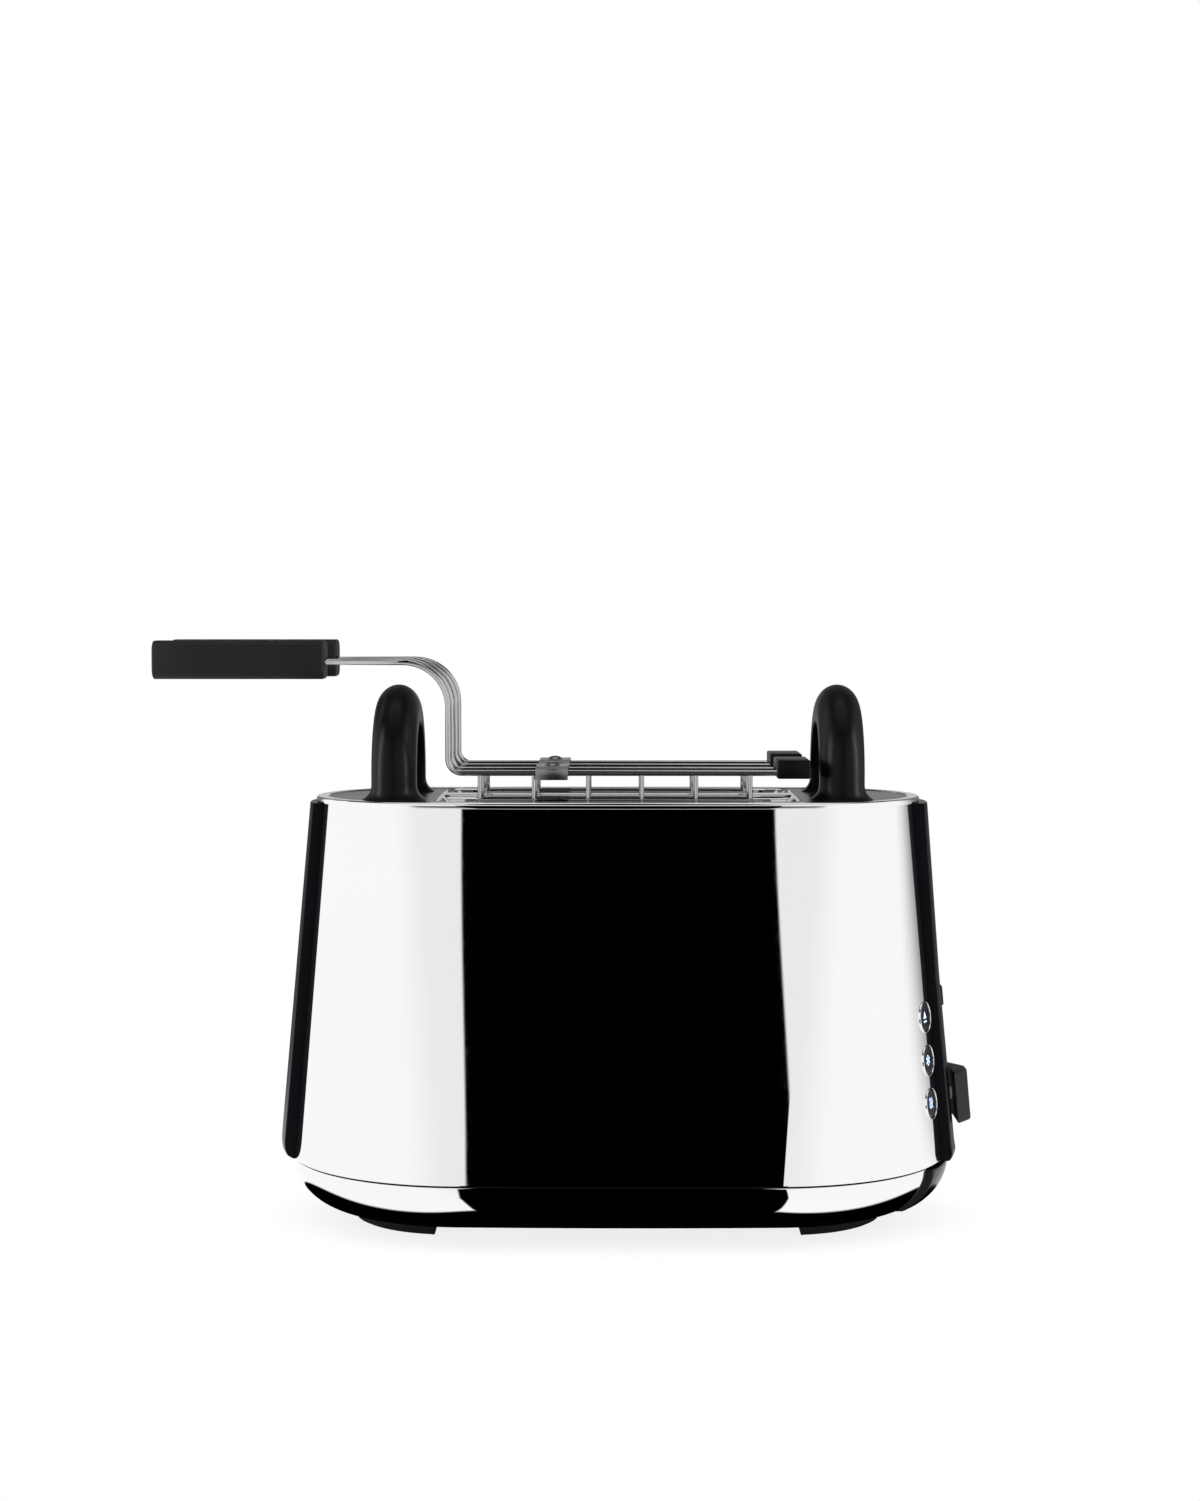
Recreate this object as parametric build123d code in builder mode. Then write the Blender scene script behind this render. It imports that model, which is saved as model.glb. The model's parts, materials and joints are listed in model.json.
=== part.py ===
"""A two-slot toaster: tapered steel shell, arched grips and two lift-out sandwich racks.

Millimetres. The origin is on the floor under the middle of the body, +X to the control end,
+Y to the back, +Z up. The lever is down and the racks sit in their slots.
"""
import os
from math import asin, atan2, cos, degrees, radians, sin

from build123d import *

os.makedirs("parts", exist_ok=True)

# Steel body
BOW_RADIUS = 1900.0        # the long sides are bowed this gently
SHEET = 1.0                # shell and skirt
TIP_LOW = 147.0            # half length at the seam
TIP_TOP = 133.0            # half length at the top
DEPTH_LOW = 81.2           # half depth at the seam
DEPTH_TOP = 52.0           # half depth at the top
SHELL_LOW_Z = 29.4
SHELL_TOP_Z = 186.5
SEAM = 0.9                 # dark joint between shell and skirt
SEAM_BAND_HALF = 3.2

# Skirt and base
BOWL_STEP = 1.5            # the skirt is this much smaller than the shell
BOWL_RUN = 22.0            # how far the bowl draws in
BASE_Z = 7.0
SKIRT_LOW_Z = 11.5
BASE_WALL = 2.0
VENT_LONG = 10.0
VENT_WIDE = 3.0
VENT_PITCH = 16.0
VENT_Y = 51.5              # between the heat shields and the bowl
FOOT_TIP = 118.0
FOOT_DEPTH = 46.0
FOOT_INNER_X = 79.5
FOOT_INNER_Y = 14.0
FOOT_CORNER = 5.0

# Top
RING_TIP = 136.5
RING_DEPTH = 52.8
RING_WIDTH = 5.2
RING_HEIGHT = 2.6
LEDGE = 2.8                # ledge in the ring that carries the plate
PLATE = 1.2
TROUGH_LENGTH = 159.0
TROUGH_WIDTH = 83.0
TROUGH_FLOOR_LENGTH = 138.0
TROUGH_DEPTH = 11.0
TROUGH_CORNER = 6.0
TROUGH_SHEET = 0.8
SLOT_LENGTH = 132.0
SLOT_WIDTH = 31.0
SLOT_PITCH = 50.0
SLOT_CORNER = 9.0
DIVIDER_WIDTH = 17.6
DIVIDER_PROUD = 0.7

# Arched grips
GRIP_X = 98.0
GRIP_WIDTH = 19.6
GRIP_INNER = 23.0          # radius of the opening
GRIP_THICK = 16.4
GRIP_FLAT = 5.0            # straight sides beside the flat inner face
GRIP_SPRING_Z = 199.0      # where the arch starts
GRIP_FLARE = 4.1
GRIP_LIFT = 1.8            # the flare is this many times as high as it is wide

# End panels
PANEL_TOP_HALF = 17.5
PANEL_LOW_HALF = 26.0
PANEL_LOW_Z = 29.6
LEFT_PANEL_PROUD = [(29.6, 0.8), (30.6, 2.8), (33.2, 4.3), (37.0, 4.7), (186.4, 4.5)]
RIGHT_PANEL_PROUD = [(28.9, 3.6), (31.5, 4.9), (35.0, 4.6), (110.0, 4.1), (186.4, 5.2)]

# Lever, carriage and lifters
LEVER_Z = 54.6
LEVER_TRAVEL = 72.0
LEVER_THICK = 4.0
LEVER_HIGH = 5.2
LEVER_SLOT_GAP = 1.2
KNOB_HIGH = 23.0
KNOB_WIDE = 30.0
KNOB_DEEP = 7.4
KNOB_HOLLOW = 0.5          # how deep the finger's hollow is
KNOB_ROUND = 1.0
ROD_X = 84.0
ROD_RADIUS = 3.0
RUNNING = 0.06             # radial clearance of the carriage on its rod
GAP = 0.3                  # least gap between pieces that move past each other
CARRIAGE_LOW_Z = 46.0
CARRIAGE_HIGH = 20.0
SLEEVE_HALF_X = 8.0
SLEEVE_HALF_Y = 9.0
CROSSBAR_THICK = 2.0
CROSSBAR_HALF = 32.0       # reaches past both lifters
TAB_DROP = 2.0             # the spring's tab lies this far under the sleeve's top
TAB_THICK = 4.0
LIFTER_TOP_Z = 66.0
LIFTER_WIDE = 20.0
LIFTER_THICK = 1.2
LIFTER_WEB = 10.0
LIFTER_LONG = 124.0
LIFTER_PITCH = 12.0        # of the slots along the lifter's plate
MAGNET_X = 102.0
MAGNET_TOP_Z = 44.0
MAGNET_CORE = 14.0
MAGNET_COIL = 20.0
ARMATURE = 1.7
ARMATURE_HALF = 7.0
SPRING_Y = 15.0
SPRING_RADIUS = 3.2
SPRING_BORE = 2.4

# Chassis and heaters
CHAMBER_HALF = 70.0        # inner faces of the end plates
CHASSIS_SHEET = 1.2
CHASSIS_HALF_DEPTH = 47.0
CHASSIS_LOW_Z = 18.0
CHASSIS_TOP_Z = 176.0
LEG_WIDE = 5.0
LEG_FOOT = 9.0
FLANGE_REACH = 43.0
TOP_FLANGE_REACH = 21.0
FLANGE_HALF = 30.0
GUARD_OFFSET = 14.6
GUARD_RADIUS = 0.8
GUARD_CROSS_RADIUS = 0.6
GUARD_LOW_Z = 40.0
HEATER_OFFSET = 19.4
MICA = 0.8
HEATER_LOW_Z = 30.0
HEATER_TOP_Z = 170.0
RIBBON_WIDE = 2.0
RIBBON_THICK = 0.3
RIBBON_COUNT = 8

# Buttons, slider and electrics
BUTTON_AZIMUTH = 25.5      # degrees from +X toward the front
BUTTON_Z = 74.5
BUTTON_PITCH = 18.8
BUTTON_RADIUS = 6.15
BUTTON_PROUD = 0.9
BUTTON_CAP = 2.9
BUTTON_STEM = 2.2
BUTTON_REACH = 8.5
BUTTON_TRAVEL = 1.2
RING_HOLE = 7.0
RING_BORE = 6.5
RING_PROUD = 0.7
SLIDER_Y = 13.0
SLIDER_Z = 97.0
SLIDER_HIGH = 9.0
SLIDER_WIDE = 8.0
SLIDER_PROUD = 2.0
SLIDER_STEM = 2.4
SLIDER_DOWN = 12.0
SLIDER_UP = 33.0
SLIDER_SEAT = 4.2          # its plane lies this far out from the steel
SLIDER_TRACK_WIDE = 9.0
SLIDER_TRACK_DEEP = 12.0
BOARD = 1.6
SWITCH = 6.0
SWITCH_HIGH = 4.0
SWITCH_BOARD_WIDE = 14.0
SWITCH_BOARD_HIGH = 62.0
POST_RADIUS = 2.0
POST_PITCH = 56.0
CONTROL_BOARD_Y = 24.0
CONTROL_BOARD_LEFT = 93.0
CONTROL_BOARD_LONG = 20.0
CONTROL_BOARD_TOP_Z = 118.0
CONTROL_PARTS = (          # low z, height and depth of each component
    (26.0, 12.0, 8.0), (46.0, 18.0, 11.0), (72.0, 8.0, 5.0), (90.0, 16.0, 7.0))

# Crumb tray
TRAY_HALF = 40.0
TRAY_LEFT = -104.0
TRAY_HIGH = 6.0
TRAY_SHEET = 0.8
TRAY_GAP = 0.6
TRAY_FRONT_PROUD = 2.5
TRAY_FRONT_THICK = 4.0
TRAY_FRONT_TOP_Z = 28.2

# Sandwich racks
RAIL_RADIUS = 1.3
RAIL_Z = 201.0
RAIL_END_X = 80.0
WIRE_HALF = 11.5           # each wire plane lies this far from the slot's middle
ARM_Z = 249.0
RISER_X = -73.6
UPPER_BEND = 19.5
LOWER_BEND = 6.0
SPREAD_BEND = 20.0
SPREAD_X = -100.0
GATHER_X = -122.0
HANDLE_HALF = 4.5          # arm wires in the handle lie this far from its middle
HANDLE_LEFT = -202.6
HANDLE_RIGHT = -128.0
HANDLE_LOW_Z = 241.5
HANDLE_HIGH = 16.8
HANDLE_THICK = 19.0
HANDLE_ROUND = 4.0
RAIL_IN_HANDLE = 34.0      # length of the fixed rail inside the handle
PIVOT_X = -152.0
PIVOT_RADIUS = 1.5
EYE_RADIUS = 3.3
GRID_RADIUS = 0.9
GRID_PITCH = 23.5
GRID_COUNT = 6
GRID_FIRST_X = -60.0
GRID_LEVELS = (188.6, 148.0, 108.0)
FINGER = 5.0
FINGER_BEND = 2.5
CAP_LEFT = 69.0
CAP_RIGHT = 83.3
CAP_LOW_Z = 198.6
CAP_TOP_Z = 206.7
CAP_HALF = 15.0
JAW_SWING = 11.0           # room for the inner wire in the tip cap
CLIP_LEFT = -35.7
CLIP_LENGTH = 14.0
CLIP_SHEET = 1.0
CLIP_SKIRT = 4.6
DOME_RADIUS = 3.4
DOME_HIGH = 1.5

# Cord entry
INLET_X = -45.0
INLET_Z = 19.0
INLET_SQUARE = 12.0        # the bushing's barrel and its hole are square, so that it can't turn
INLET_CORNER = 2.0
INLET_BORE = 3.4
INLET_FLANGE = 8.0
INLET_LONG = 12.0
TERMINAL_HALF = 12.0
TERMINAL_HIGH = 12.0
TERMINAL_DEEP = 6.8
TERMINAL_PITCH = 8.0

# Worked out from the sizes above
BOWL_TOP_Z = SHELL_LOW_Z - SEAM
BOWL_HEIGHT = BOWL_TOP_Z - BASE_Z
BOWL_TIP = TIP_LOW - BOWL_STEP
BOWL_DEPTH = DEPTH_LOW - BOWL_STEP
FLOOR_Z = BASE_Z + BASE_WALL
PLATE_LOW_Z = SHELL_TOP_Z + 1.0
PLATE_TOP_Z = PLATE_LOW_Z + PLATE
TROUGH_FLOOR_Z = PLATE_TOP_Z - TROUGH_DEPTH
FLANGE_TOP_Z = CHASSIS_LOW_Z + CHASSIS_SHEET
LIFTER_WEB_TOP_Z = LIFTER_TOP_Z - LIFTER_THICK
FINGER_Z = LIFTER_TOP_Z + GAP + GRID_RADIUS
KNOB_X = TIP_LOW - (TIP_LOW - TIP_TOP) * (LEVER_Z - SHELL_LOW_Z) / (SHELL_TOP_Z - SHELL_LOW_Z)
KNOB_BACK_X = KNOB_X + 5.4 + GAP
TAB_TOP_Z = CARRIAGE_LOW_Z + CARRIAGE_HIGH - TAB_DROP
END_LEAN = degrees(atan2(TIP_LOW - TIP_TOP, SHELL_TOP_Z - SHELL_LOW_Z))
TRAY_LOW_Z = FLOOR_Z + TRAY_GAP


def finish(piece, name):
    """Label a finished piece and write it as its own file."""
    piece.part.label = name
    export_step(piece.part, f"parts/{name}.step")


def end_arc(tip, depth):
    """Centre and radius of the round end that runs smoothly into the bowed long sides."""
    centre = ((BOW_RADIUS - depth) ** 2 - (BOW_RADIUS - tip) ** 2) / (2 * (BOW_RADIUS - tip))
    return centre, tip - centre


def outline(tip, depth, z):
    """The body's plan at height z: two bowed sides and two round ends, all tangent."""
    centre, radius = end_arc(tip, depth)
    share = BOW_RADIUS / (BOW_RADIUS - radius)
    x = centre * share
    y = depth - BOW_RADIUS + (BOW_RADIUS - depth) * share
    with BuildSketch(Plane.XY.offset(z)) as plan:
        with BuildLine():
            ThreePointArc((x, -y), (tip, 0), (x, y))
            ThreePointArc((x, y), (0, depth), (-x, y))
            ThreePointArc((-x, y), (-tip, 0), (-x, -y))
            ThreePointArc((-x, -y), (0, -depth), (x, -y))
        make_face()
    return plan.sketch


def taper(z, low, top):
    """A size of the shell at height z, running evenly from the seam to the top."""
    return low + (top - low) * (z - SHELL_LOW_Z) / (SHELL_TOP_Z - SHELL_LOW_Z)


def skin_solid(levels):
    """Everything inside the shell's outer face, grown at each height in levels [(z, grow)]."""
    plans = [outline(taper(z, TIP_LOW, TIP_TOP) + grow, taper(z, DEPTH_LOW, DEPTH_TOP) + grow, z)
             for z, grow in levels]
    with BuildPart() as solid:
        loft(sections=plans, ruled=True)
    return solid.part


def bowl_solid(grow, low_z, top_z, lift=0.0, steps=4):
    """Everything inside the bowl between two heights, a quarter ellipse drawn in below."""
    first = asin((BOWL_TOP_Z - low_z) / BOWL_HEIGHT)
    last = asin((BOWL_TOP_Z - top_z) / BOWL_HEIGHT)
    plans = []
    for step in range(steps + 1):
        angle = first + (last - first) * step / steps
        inset = BOWL_RUN * (1 - cos(angle)) - grow
        z = BOWL_TOP_Z - BOWL_HEIGHT * sin(angle) + lift
        plans.append(outline(BOWL_TIP - inset, BOWL_DEPTH - inset, z))
    with BuildPart() as solid:
        loft(sections=plans, ruled=True)
    return solid.part


def surface_plane(azimuth, z):
    """A plane on the shell's round end, facing out; azimuth is from +X toward the front."""
    def reach(height):
        centre, radius = end_arc(taper(height, TIP_LOW, TIP_TOP), taper(height, DEPTH_LOW, DEPTH_TOP))
        return centre, radius, centre * cos(radians(azimuth)) + radius
    centre, radius, here = reach(z)
    lean = atan2(here - reach(z + 1)[2], 1.0)
    across = (cos(radians(azimuth)), -sin(radians(azimuth)))
    origin = (centre + radius * across[0], radius * across[1], z)
    outward = (across[0] * cos(lean), across[1] * cos(lean), sin(lean))
    return Plane(origin=origin, x_dir=(-across[1], across[0], 0), z_dir=outward)


def bent_wire(points, bends, radius):
    """A round wire along straight runs joined by bends."""
    with BuildPart() as wire:
        with BuildLine() as path:
            FilletPolyline(*points, radius=bends)
        with BuildSketch(Plane(origin=path.line @ 0, z_dir=path.line % 0)):
            Circle(radius)
        sweep()
    return wire.part


def rods_along_x(left, right, places, radius):
    """Straight wires along X, one at each (y, z)."""
    with BuildPart() as rods:
        with BuildSketch(Plane.YZ.offset(left)):
            with Locations(*places):
                Circle(radius)
        extrude(amount=right - left)
    return rods.part


def rods_along_z(low, top, places, radius):
    """Straight wires along Z, one at each (x, y)."""
    with BuildPart() as rods:
        with BuildSketch(Plane.XY.offset(low)):
            with Locations(*places):
                Circle(radius)
        extrude(amount=top - low)
    return rods.part


def slab(x_span, y_span, z_span):
    """A plain block between two places on each axis, as a tool for cuts."""
    with BuildPart() as block:
        with BuildSketch(Plane.XY.offset(z_span[0])):
            with Locations(((x_span[0] + x_span[1]) / 2, (y_span[0] + y_span[1]) / 2)):
                Rectangle(x_span[1] - x_span[0], y_span[1] - y_span[0])
        extrude(amount=z_span[1] - z_span[0])
    return block.part


# Cutting tools shared by the shell, panel and inner pieces
body_core = skin_solid([(SHELL_LOW_Z - 8, 0.05), (SHELL_TOP_Z + 4, 0.05)])
lever_slot = slab((100, 175), (-LEVER_THICK / 2 - LEVER_SLOT_GAP, LEVER_THICK / 2 + LEVER_SLOT_GAP),
                  (LEVER_Z - 6, LEVER_Z + LEVER_TRAVEL + 6))
slider_slot = slab((100, 175), (SLIDER_Y - SLIDER_STEM / 2 - 0.6, SLIDER_Y + SLIDER_STEM / 2 + 0.6),
                   (SLIDER_Z - SLIDER_DOWN - 4, SLIDER_Z + SLIDER_UP + 4))
button_planes = [surface_plane(BUTTON_AZIMUTH, BUTTON_Z + BUTTON_PITCH * step) for step in (1, 0, -1)]
tray_mouth = slab((100, 175), (-TRAY_HALF - TRAY_GAP, TRAY_HALF + TRAY_GAP), (FLOOR_Z, BOWL_TOP_Z))

# Upper shell: mirror steel, open above and below
shell_inside = skin_solid([(SHELL_LOW_Z - 8, -SHEET), (SHELL_TOP_Z + 4, -SHEET)])
shell_outside = skin_solid([(SHELL_LOW_Z, 0), (SHELL_TOP_Z, 0)])
with BuildPart() as shell:
    add(shell_outside)
    add(shell_inside, mode=Mode.SUBTRACT)
    add([lever_slot, slider_slot], mode=Mode.SUBTRACT)
    for plane in button_planes:
        with BuildSketch(plane.offset(-6)):
            Circle(RING_HOLE)
        extrude(amount=12, mode=Mode.SUBTRACT)
finish(shell, "shell")

# Skirt: the bright upper part of the bowl, with the tray's mouth in its right end
skirt_outside = bowl_solid(0, SKIRT_LOW_Z, BOWL_TOP_Z, steps=3)
skirt_inside = bowl_solid(-SHEET, SKIRT_LOW_Z, BOWL_TOP_Z, steps=3)
with BuildPart() as skirt:
    add(skirt_outside)
    add(skirt_inside, mode=Mode.SUBTRACT)
    add(tray_mouth, mode=Mode.SUBTRACT)
    with BuildSketch(Plane.XZ.offset(-BOWL_DEPTH - 5)):
        with Locations((INLET_X, INLET_Z)):
            RectangleRounded(INLET_SQUARE, INLET_SQUARE, INLET_CORNER)
    extrude(amount=20, mode=Mode.SUBTRACT)
finish(skirt, "skirt")

# Seam band: the dark ring behind the joint, which locates shell and skirt
band_low_z = SHELL_LOW_Z - SEAM_BAND_HALF
with BuildPart() as seam_band:
    with BuildSketch(Plane.XY.offset(band_low_z)):
        add(outline(BOWL_TIP - SHEET, BOWL_DEPTH - SHEET, 0))
        add(outline(BOWL_TIP - 2.4 * SHEET, BOWL_DEPTH - 2.4 * SHEET, 0), mode=Mode.SUBTRACT)
    extrude(amount=2 * SEAM_BAND_HALF)
    add(bowl_solid(-SHEET, SKIRT_LOW_Z, BOWL_TOP_Z, lift=SEAM_BAND_HALF + 0.05), mode=Mode.INTERSECT)
    add(tray_mouth, mode=Mode.SUBTRACT)
finish(seam_band, "seam_band")

# Base: black moulding that closes the bowl and carries the chassis
screw_x = CHAMBER_HALF + CHASSIS_SHEET + LEG_FOOT / 2
screw_y = CHASSIS_HALF_DEPTH - LEG_WIDE / 2
screw_places = [(side_x * screw_x, side_y * screw_y) for side_x in (-1, 1) for side_y in (-1, 1)]
vent_places = [(step * VENT_PITCH, -VENT_Y) for step in range(-4, 5)]
vent_places += [(step * VENT_PITCH, VENT_Y) for step in range(-1, 5)]
base_outside = bowl_solid(0, BASE_Z, SKIRT_LOW_Z, steps=3)
base_inside = bowl_solid(-BASE_WALL, BASE_Z, SKIRT_LOW_Z, lift=BASE_WALL, steps=3)
with BuildPart() as base_pan:
    add(base_outside)
    add(base_inside, mode=Mode.SUBTRACT)
    add(tray_mouth, mode=Mode.SUBTRACT)
    with Locations(*[Location((x, y, BASE_Z), (180, 0, 0)) for x, y in screw_places]):
        CounterBoreHole(2.1, 3.8, 1.0, depth=6)
    with BuildSketch(Plane.XY.offset(BASE_Z - 1)):
        with Locations(*vent_places):
            SlotOverall(VENT_LONG, VENT_WIDE)
    extrude(amount=BASE_WALL + 2, mode=Mode.SUBTRACT)
finish(base_pan, "base_pan")

# Feet: four pads that follow the base's plan, straight on their inner sides
with BuildPart() as feet:
    with BuildSketch(Plane.XY):
        add(outline(FOOT_TIP, FOOT_DEPTH, 0))
        with Locations((FOOT_INNER_X + 25, -FOOT_INNER_Y - 25)):
            RectangleRounded(50, 50, FOOT_CORNER, mode=Mode.INTERSECT)
    extrude(amount=BASE_Z)
    mirror(about=Plane.XZ)
    mirror(about=Plane.YZ)
finish(feet, "feet")

with BuildPart() as base_screws:
    with BuildSketch(Plane.XY.offset(BASE_Z)):
        with Locations(*screw_places):
            Circle(3.6)
    extrude(amount=1.0)
    with BuildSketch(Plane.XY.offset(BASE_Z + 1.0)):
        with Locations(*screw_places):
            Circle(2.0)
    extrude(amount=7.0)
finish(base_screws, "base_screws")

# Top ring and plate
with BuildPart() as top_ring:
    with BuildSketch(Plane.XY.offset(SHELL_TOP_Z)):
        add(outline(RING_TIP, RING_DEPTH, 0))
    extrude(amount=RING_HEIGHT)
    fillet(edges().group_by(Axis.Z)[-1], radius=1.0)
    with BuildSketch(Plane.XY.offset(PLATE_LOW_Z)):
        add(outline(RING_TIP - RING_WIDTH, RING_DEPTH - RING_WIDTH, 0))
    extrude(amount=RING_HEIGHT, mode=Mode.SUBTRACT)
    with BuildSketch(Plane.XY.offset(SHELL_TOP_Z)):
        add(outline(RING_TIP - RING_WIDTH - LEDGE, RING_DEPTH - RING_WIDTH - LEDGE, 0))
    extrude(amount=RING_HEIGHT, mode=Mode.SUBTRACT)
finish(top_ring, "top_ring")

with BuildPart() as top_plate:
    with BuildSketch(Plane.XY.offset(PLATE_LOW_Z)):
        add(outline(RING_TIP - RING_WIDTH, RING_DEPTH - RING_WIDTH, 0))
        RectangleRounded(TROUGH_LENGTH, TROUGH_WIDTH, TROUGH_CORNER, mode=Mode.SUBTRACT)
    extrude(amount=PLATE)
finish(top_plate, "top_plate")

# Trough: sloped ends, and a floor with the two slots
trough_inside_width = TROUGH_WIDTH - 2 * TROUGH_SHEET
trough_inside_corner = TROUGH_CORNER - TROUGH_SHEET
with BuildPart() as slot_trough:
    with BuildSketch(Plane.XY.offset(PLATE_TOP_Z)):
        RectangleRounded(TROUGH_LENGTH, TROUGH_WIDTH, TROUGH_CORNER)
    with BuildSketch(Plane.XY.offset(TROUGH_FLOOR_Z - TROUGH_SHEET)):
        RectangleRounded(TROUGH_FLOOR_LENGTH, TROUGH_WIDTH, TROUGH_CORNER)
    loft(ruled=True)
    with BuildSketch(Plane.XY.offset(PLATE_TOP_Z)):
        RectangleRounded(TROUGH_LENGTH - 2 * TROUGH_SHEET, trough_inside_width, trough_inside_corner)
    with BuildSketch(Plane.XY.offset(TROUGH_FLOOR_Z)):
        RectangleRounded(TROUGH_FLOOR_LENGTH - TROUGH_SHEET / 8, trough_inside_width, trough_inside_corner)
    loft(ruled=True, mode=Mode.SUBTRACT)
    with BuildSketch(Plane.XY.offset(TROUGH_FLOOR_Z - 5)):
        with GridLocations(0, SLOT_PITCH, 1, 2):
            RectangleRounded(SLOT_LENGTH, SLOT_WIDTH, SLOT_CORNER)
    extrude(amount=10, mode=Mode.SUBTRACT)
finish(slot_trough, "slot_trough")

# Divider: a folded channel between the slots, as long as the sloped ends leave room for
divider_top_half = TROUGH_LENGTH / 2 - TROUGH_SHEET - 1.2
divider_low_half = TROUGH_FLOOR_LENGTH / 2 - TROUGH_SHEET - 0.4
divider_top_z = PLATE_TOP_Z + DIVIDER_PROUD
with BuildPart() as slot_divider:
    with BuildSketch(Plane.XZ.offset(-DIVIDER_WIDTH / 2)):
        Polygon((-divider_low_half, TROUGH_FLOOR_Z), (divider_low_half, TROUGH_FLOOR_Z),
                (divider_top_half, divider_top_z), (-divider_top_half, divider_top_z), align=None)
    extrude(amount=DIVIDER_WIDTH)
    fillet(edges().filter_by(Axis.X).group_by(Axis.Z)[-1], radius=2.0)
    with BuildSketch(Plane.XZ.offset(-DIVIDER_WIDTH / 2 + TROUGH_SHEET)):
        Polygon((-divider_low_half + 1, TROUGH_FLOOR_Z), (divider_low_half - 1, TROUGH_FLOOR_Z),
                (divider_top_half - 1.8, PLATE_TOP_Z - 1.4), (-divider_top_half + 1.8, PLATE_TOP_Z - 1.4),
                align=None)
    extrude(amount=DIVIDER_WIDTH - 2 * TROUGH_SHEET, mode=Mode.SUBTRACT)
finish(slot_divider, "slot_divider")


def grip_section(x, grow, z):
    """One leg of an arched grip at height z: flat inside, round outside."""
    half = GRIP_WIDTH / 2 + grow
    shoulder = -GRIP_INNER - GRIP_FLAT
    with BuildSketch(Plane.XY.offset(z)) as leg:
        with BuildLine():
            Polyline((x - half, shoulder), (x - half, -GRIP_INNER + grow / 2),
                     (x + half, -GRIP_INNER + grow / 2), (x + half, shoulder))
            EllipticalCenterArc((x, shoulder), half, GRIP_THICK - GRIP_FLAT + grow / 2, 180, arc_size=180)
        make_face()
    return leg.sketch


# Arched grips, one at each end of the trough
for name, x in (("grip_left", -GRIP_X), ("grip_right", GRIP_X)):
    flare_top_z = PLATE_TOP_Z + GRIP_LIFT * GRIP_FLARE
    flare = [grip_section(x, GRIP_FLARE * share ** 3, flare_top_z + (PLATE_TOP_Z - flare_top_z) * share)
             for share in (0, 0.4, 0.7, 0.88, 1)]
    leg_top = grip_section(x, 0, GRIP_SPRING_Z)
    with BuildPart() as grip:
        revolve(profiles=leg_top, axis=Axis((0, 0, GRIP_SPRING_Z), (-1, 0, 0)), revolution_arc=90)
        extrude(leg_top, amount=flare_top_z - GRIP_SPRING_Z)
        loft(sections=flare, ruled=True)
        mirror(about=Plane.XZ)
    finish(grip, name)


def panel_wedge():
    """The panels' outline seen from the end: narrow at the top, wide at the seam."""
    with BuildSketch(Plane.YZ.offset(100)) as wedge:
        Polygon((-PANEL_LOW_HALF, PANEL_LOW_Z - 1), (PANEL_LOW_HALF, PANEL_LOW_Z - 1),
                (PANEL_TOP_HALF, SHELL_TOP_Z), (-PANEL_TOP_HALF, SHELL_TOP_Z), align=None)
    return wedge.sketch


# End panels: black, proud of the steel; the right one has the lever's and the slider's slots
left_skin = skin_solid(LEFT_PANEL_PROUD)
with BuildPart() as left_end_panel:
    add(left_skin)
    add(body_core, mode=Mode.SUBTRACT)
    extrude(mirror(panel_wedge(), about=Plane.YZ), amount=75, dir=(-1, 0, 0), mode=Mode.INTERSECT)
finish(left_end_panel, "left_end_panel")

right_skin = skin_solid(RIGHT_PANEL_PROUD)
with BuildPart() as control_panel:
    add(right_skin)
    add(body_core, mode=Mode.SUBTRACT)
    extrude(panel_wedge(), amount=75, dir=(1, 0, 0), mode=Mode.INTERSECT)
    add([lever_slot, slider_slot], mode=Mode.SUBTRACT)
finish(control_panel, "control_panel")

# Chassis: two end plates with legs, slots for the lifters, and the control side's brackets
lifter_slot_z = (LIFTER_WEB_TOP_Z - LIFTER_WEB - 2, LIFTER_TOP_Z + LEVER_TRAVEL + 2)
lifter_slots = [slab((-90, 90), (side * SLOT_PITCH / 2 - 1.6, side * SLOT_PITCH / 2 + 1.6), lifter_slot_z)
                for side in (-1, 1)]


def end_plate(inner_x, outward):
    """A chassis end plate on four feet, its inner face at inner_x, its feet turned outward."""
    outer_x = inner_x + outward * CHASSIS_SHEET
    foot_x = outer_x + outward * LEG_FOOT
    x_span = sorted((inner_x, outer_x))
    with BuildPart() as plate:
        add(slab(x_span, (-CHASSIS_HALF_DEPTH, CHASSIS_HALF_DEPTH), (CHASSIS_LOW_Z, CHASSIS_TOP_Z)))
        for side in (-1, 1):
            y_span = sorted((side * CHASSIS_HALF_DEPTH, side * (CHASSIS_HALF_DEPTH - LEG_WIDE)))
            add(slab(x_span, y_span, (FLOOR_Z, CHASSIS_LOW_Z)))
            add(slab(sorted((outer_x, foot_x)), y_span, (FLOOR_Z, FLOOR_Z + CHASSIS_SHEET)))
        add(lifter_slots, mode=Mode.SUBTRACT)
        with BuildSketch(Plane.XY.offset(FLOOR_Z - 1)):
            with Locations(*screw_places):
                Circle(2.05)
        extrude(amount=4, mode=Mode.SUBTRACT)
    return plate.part


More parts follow.
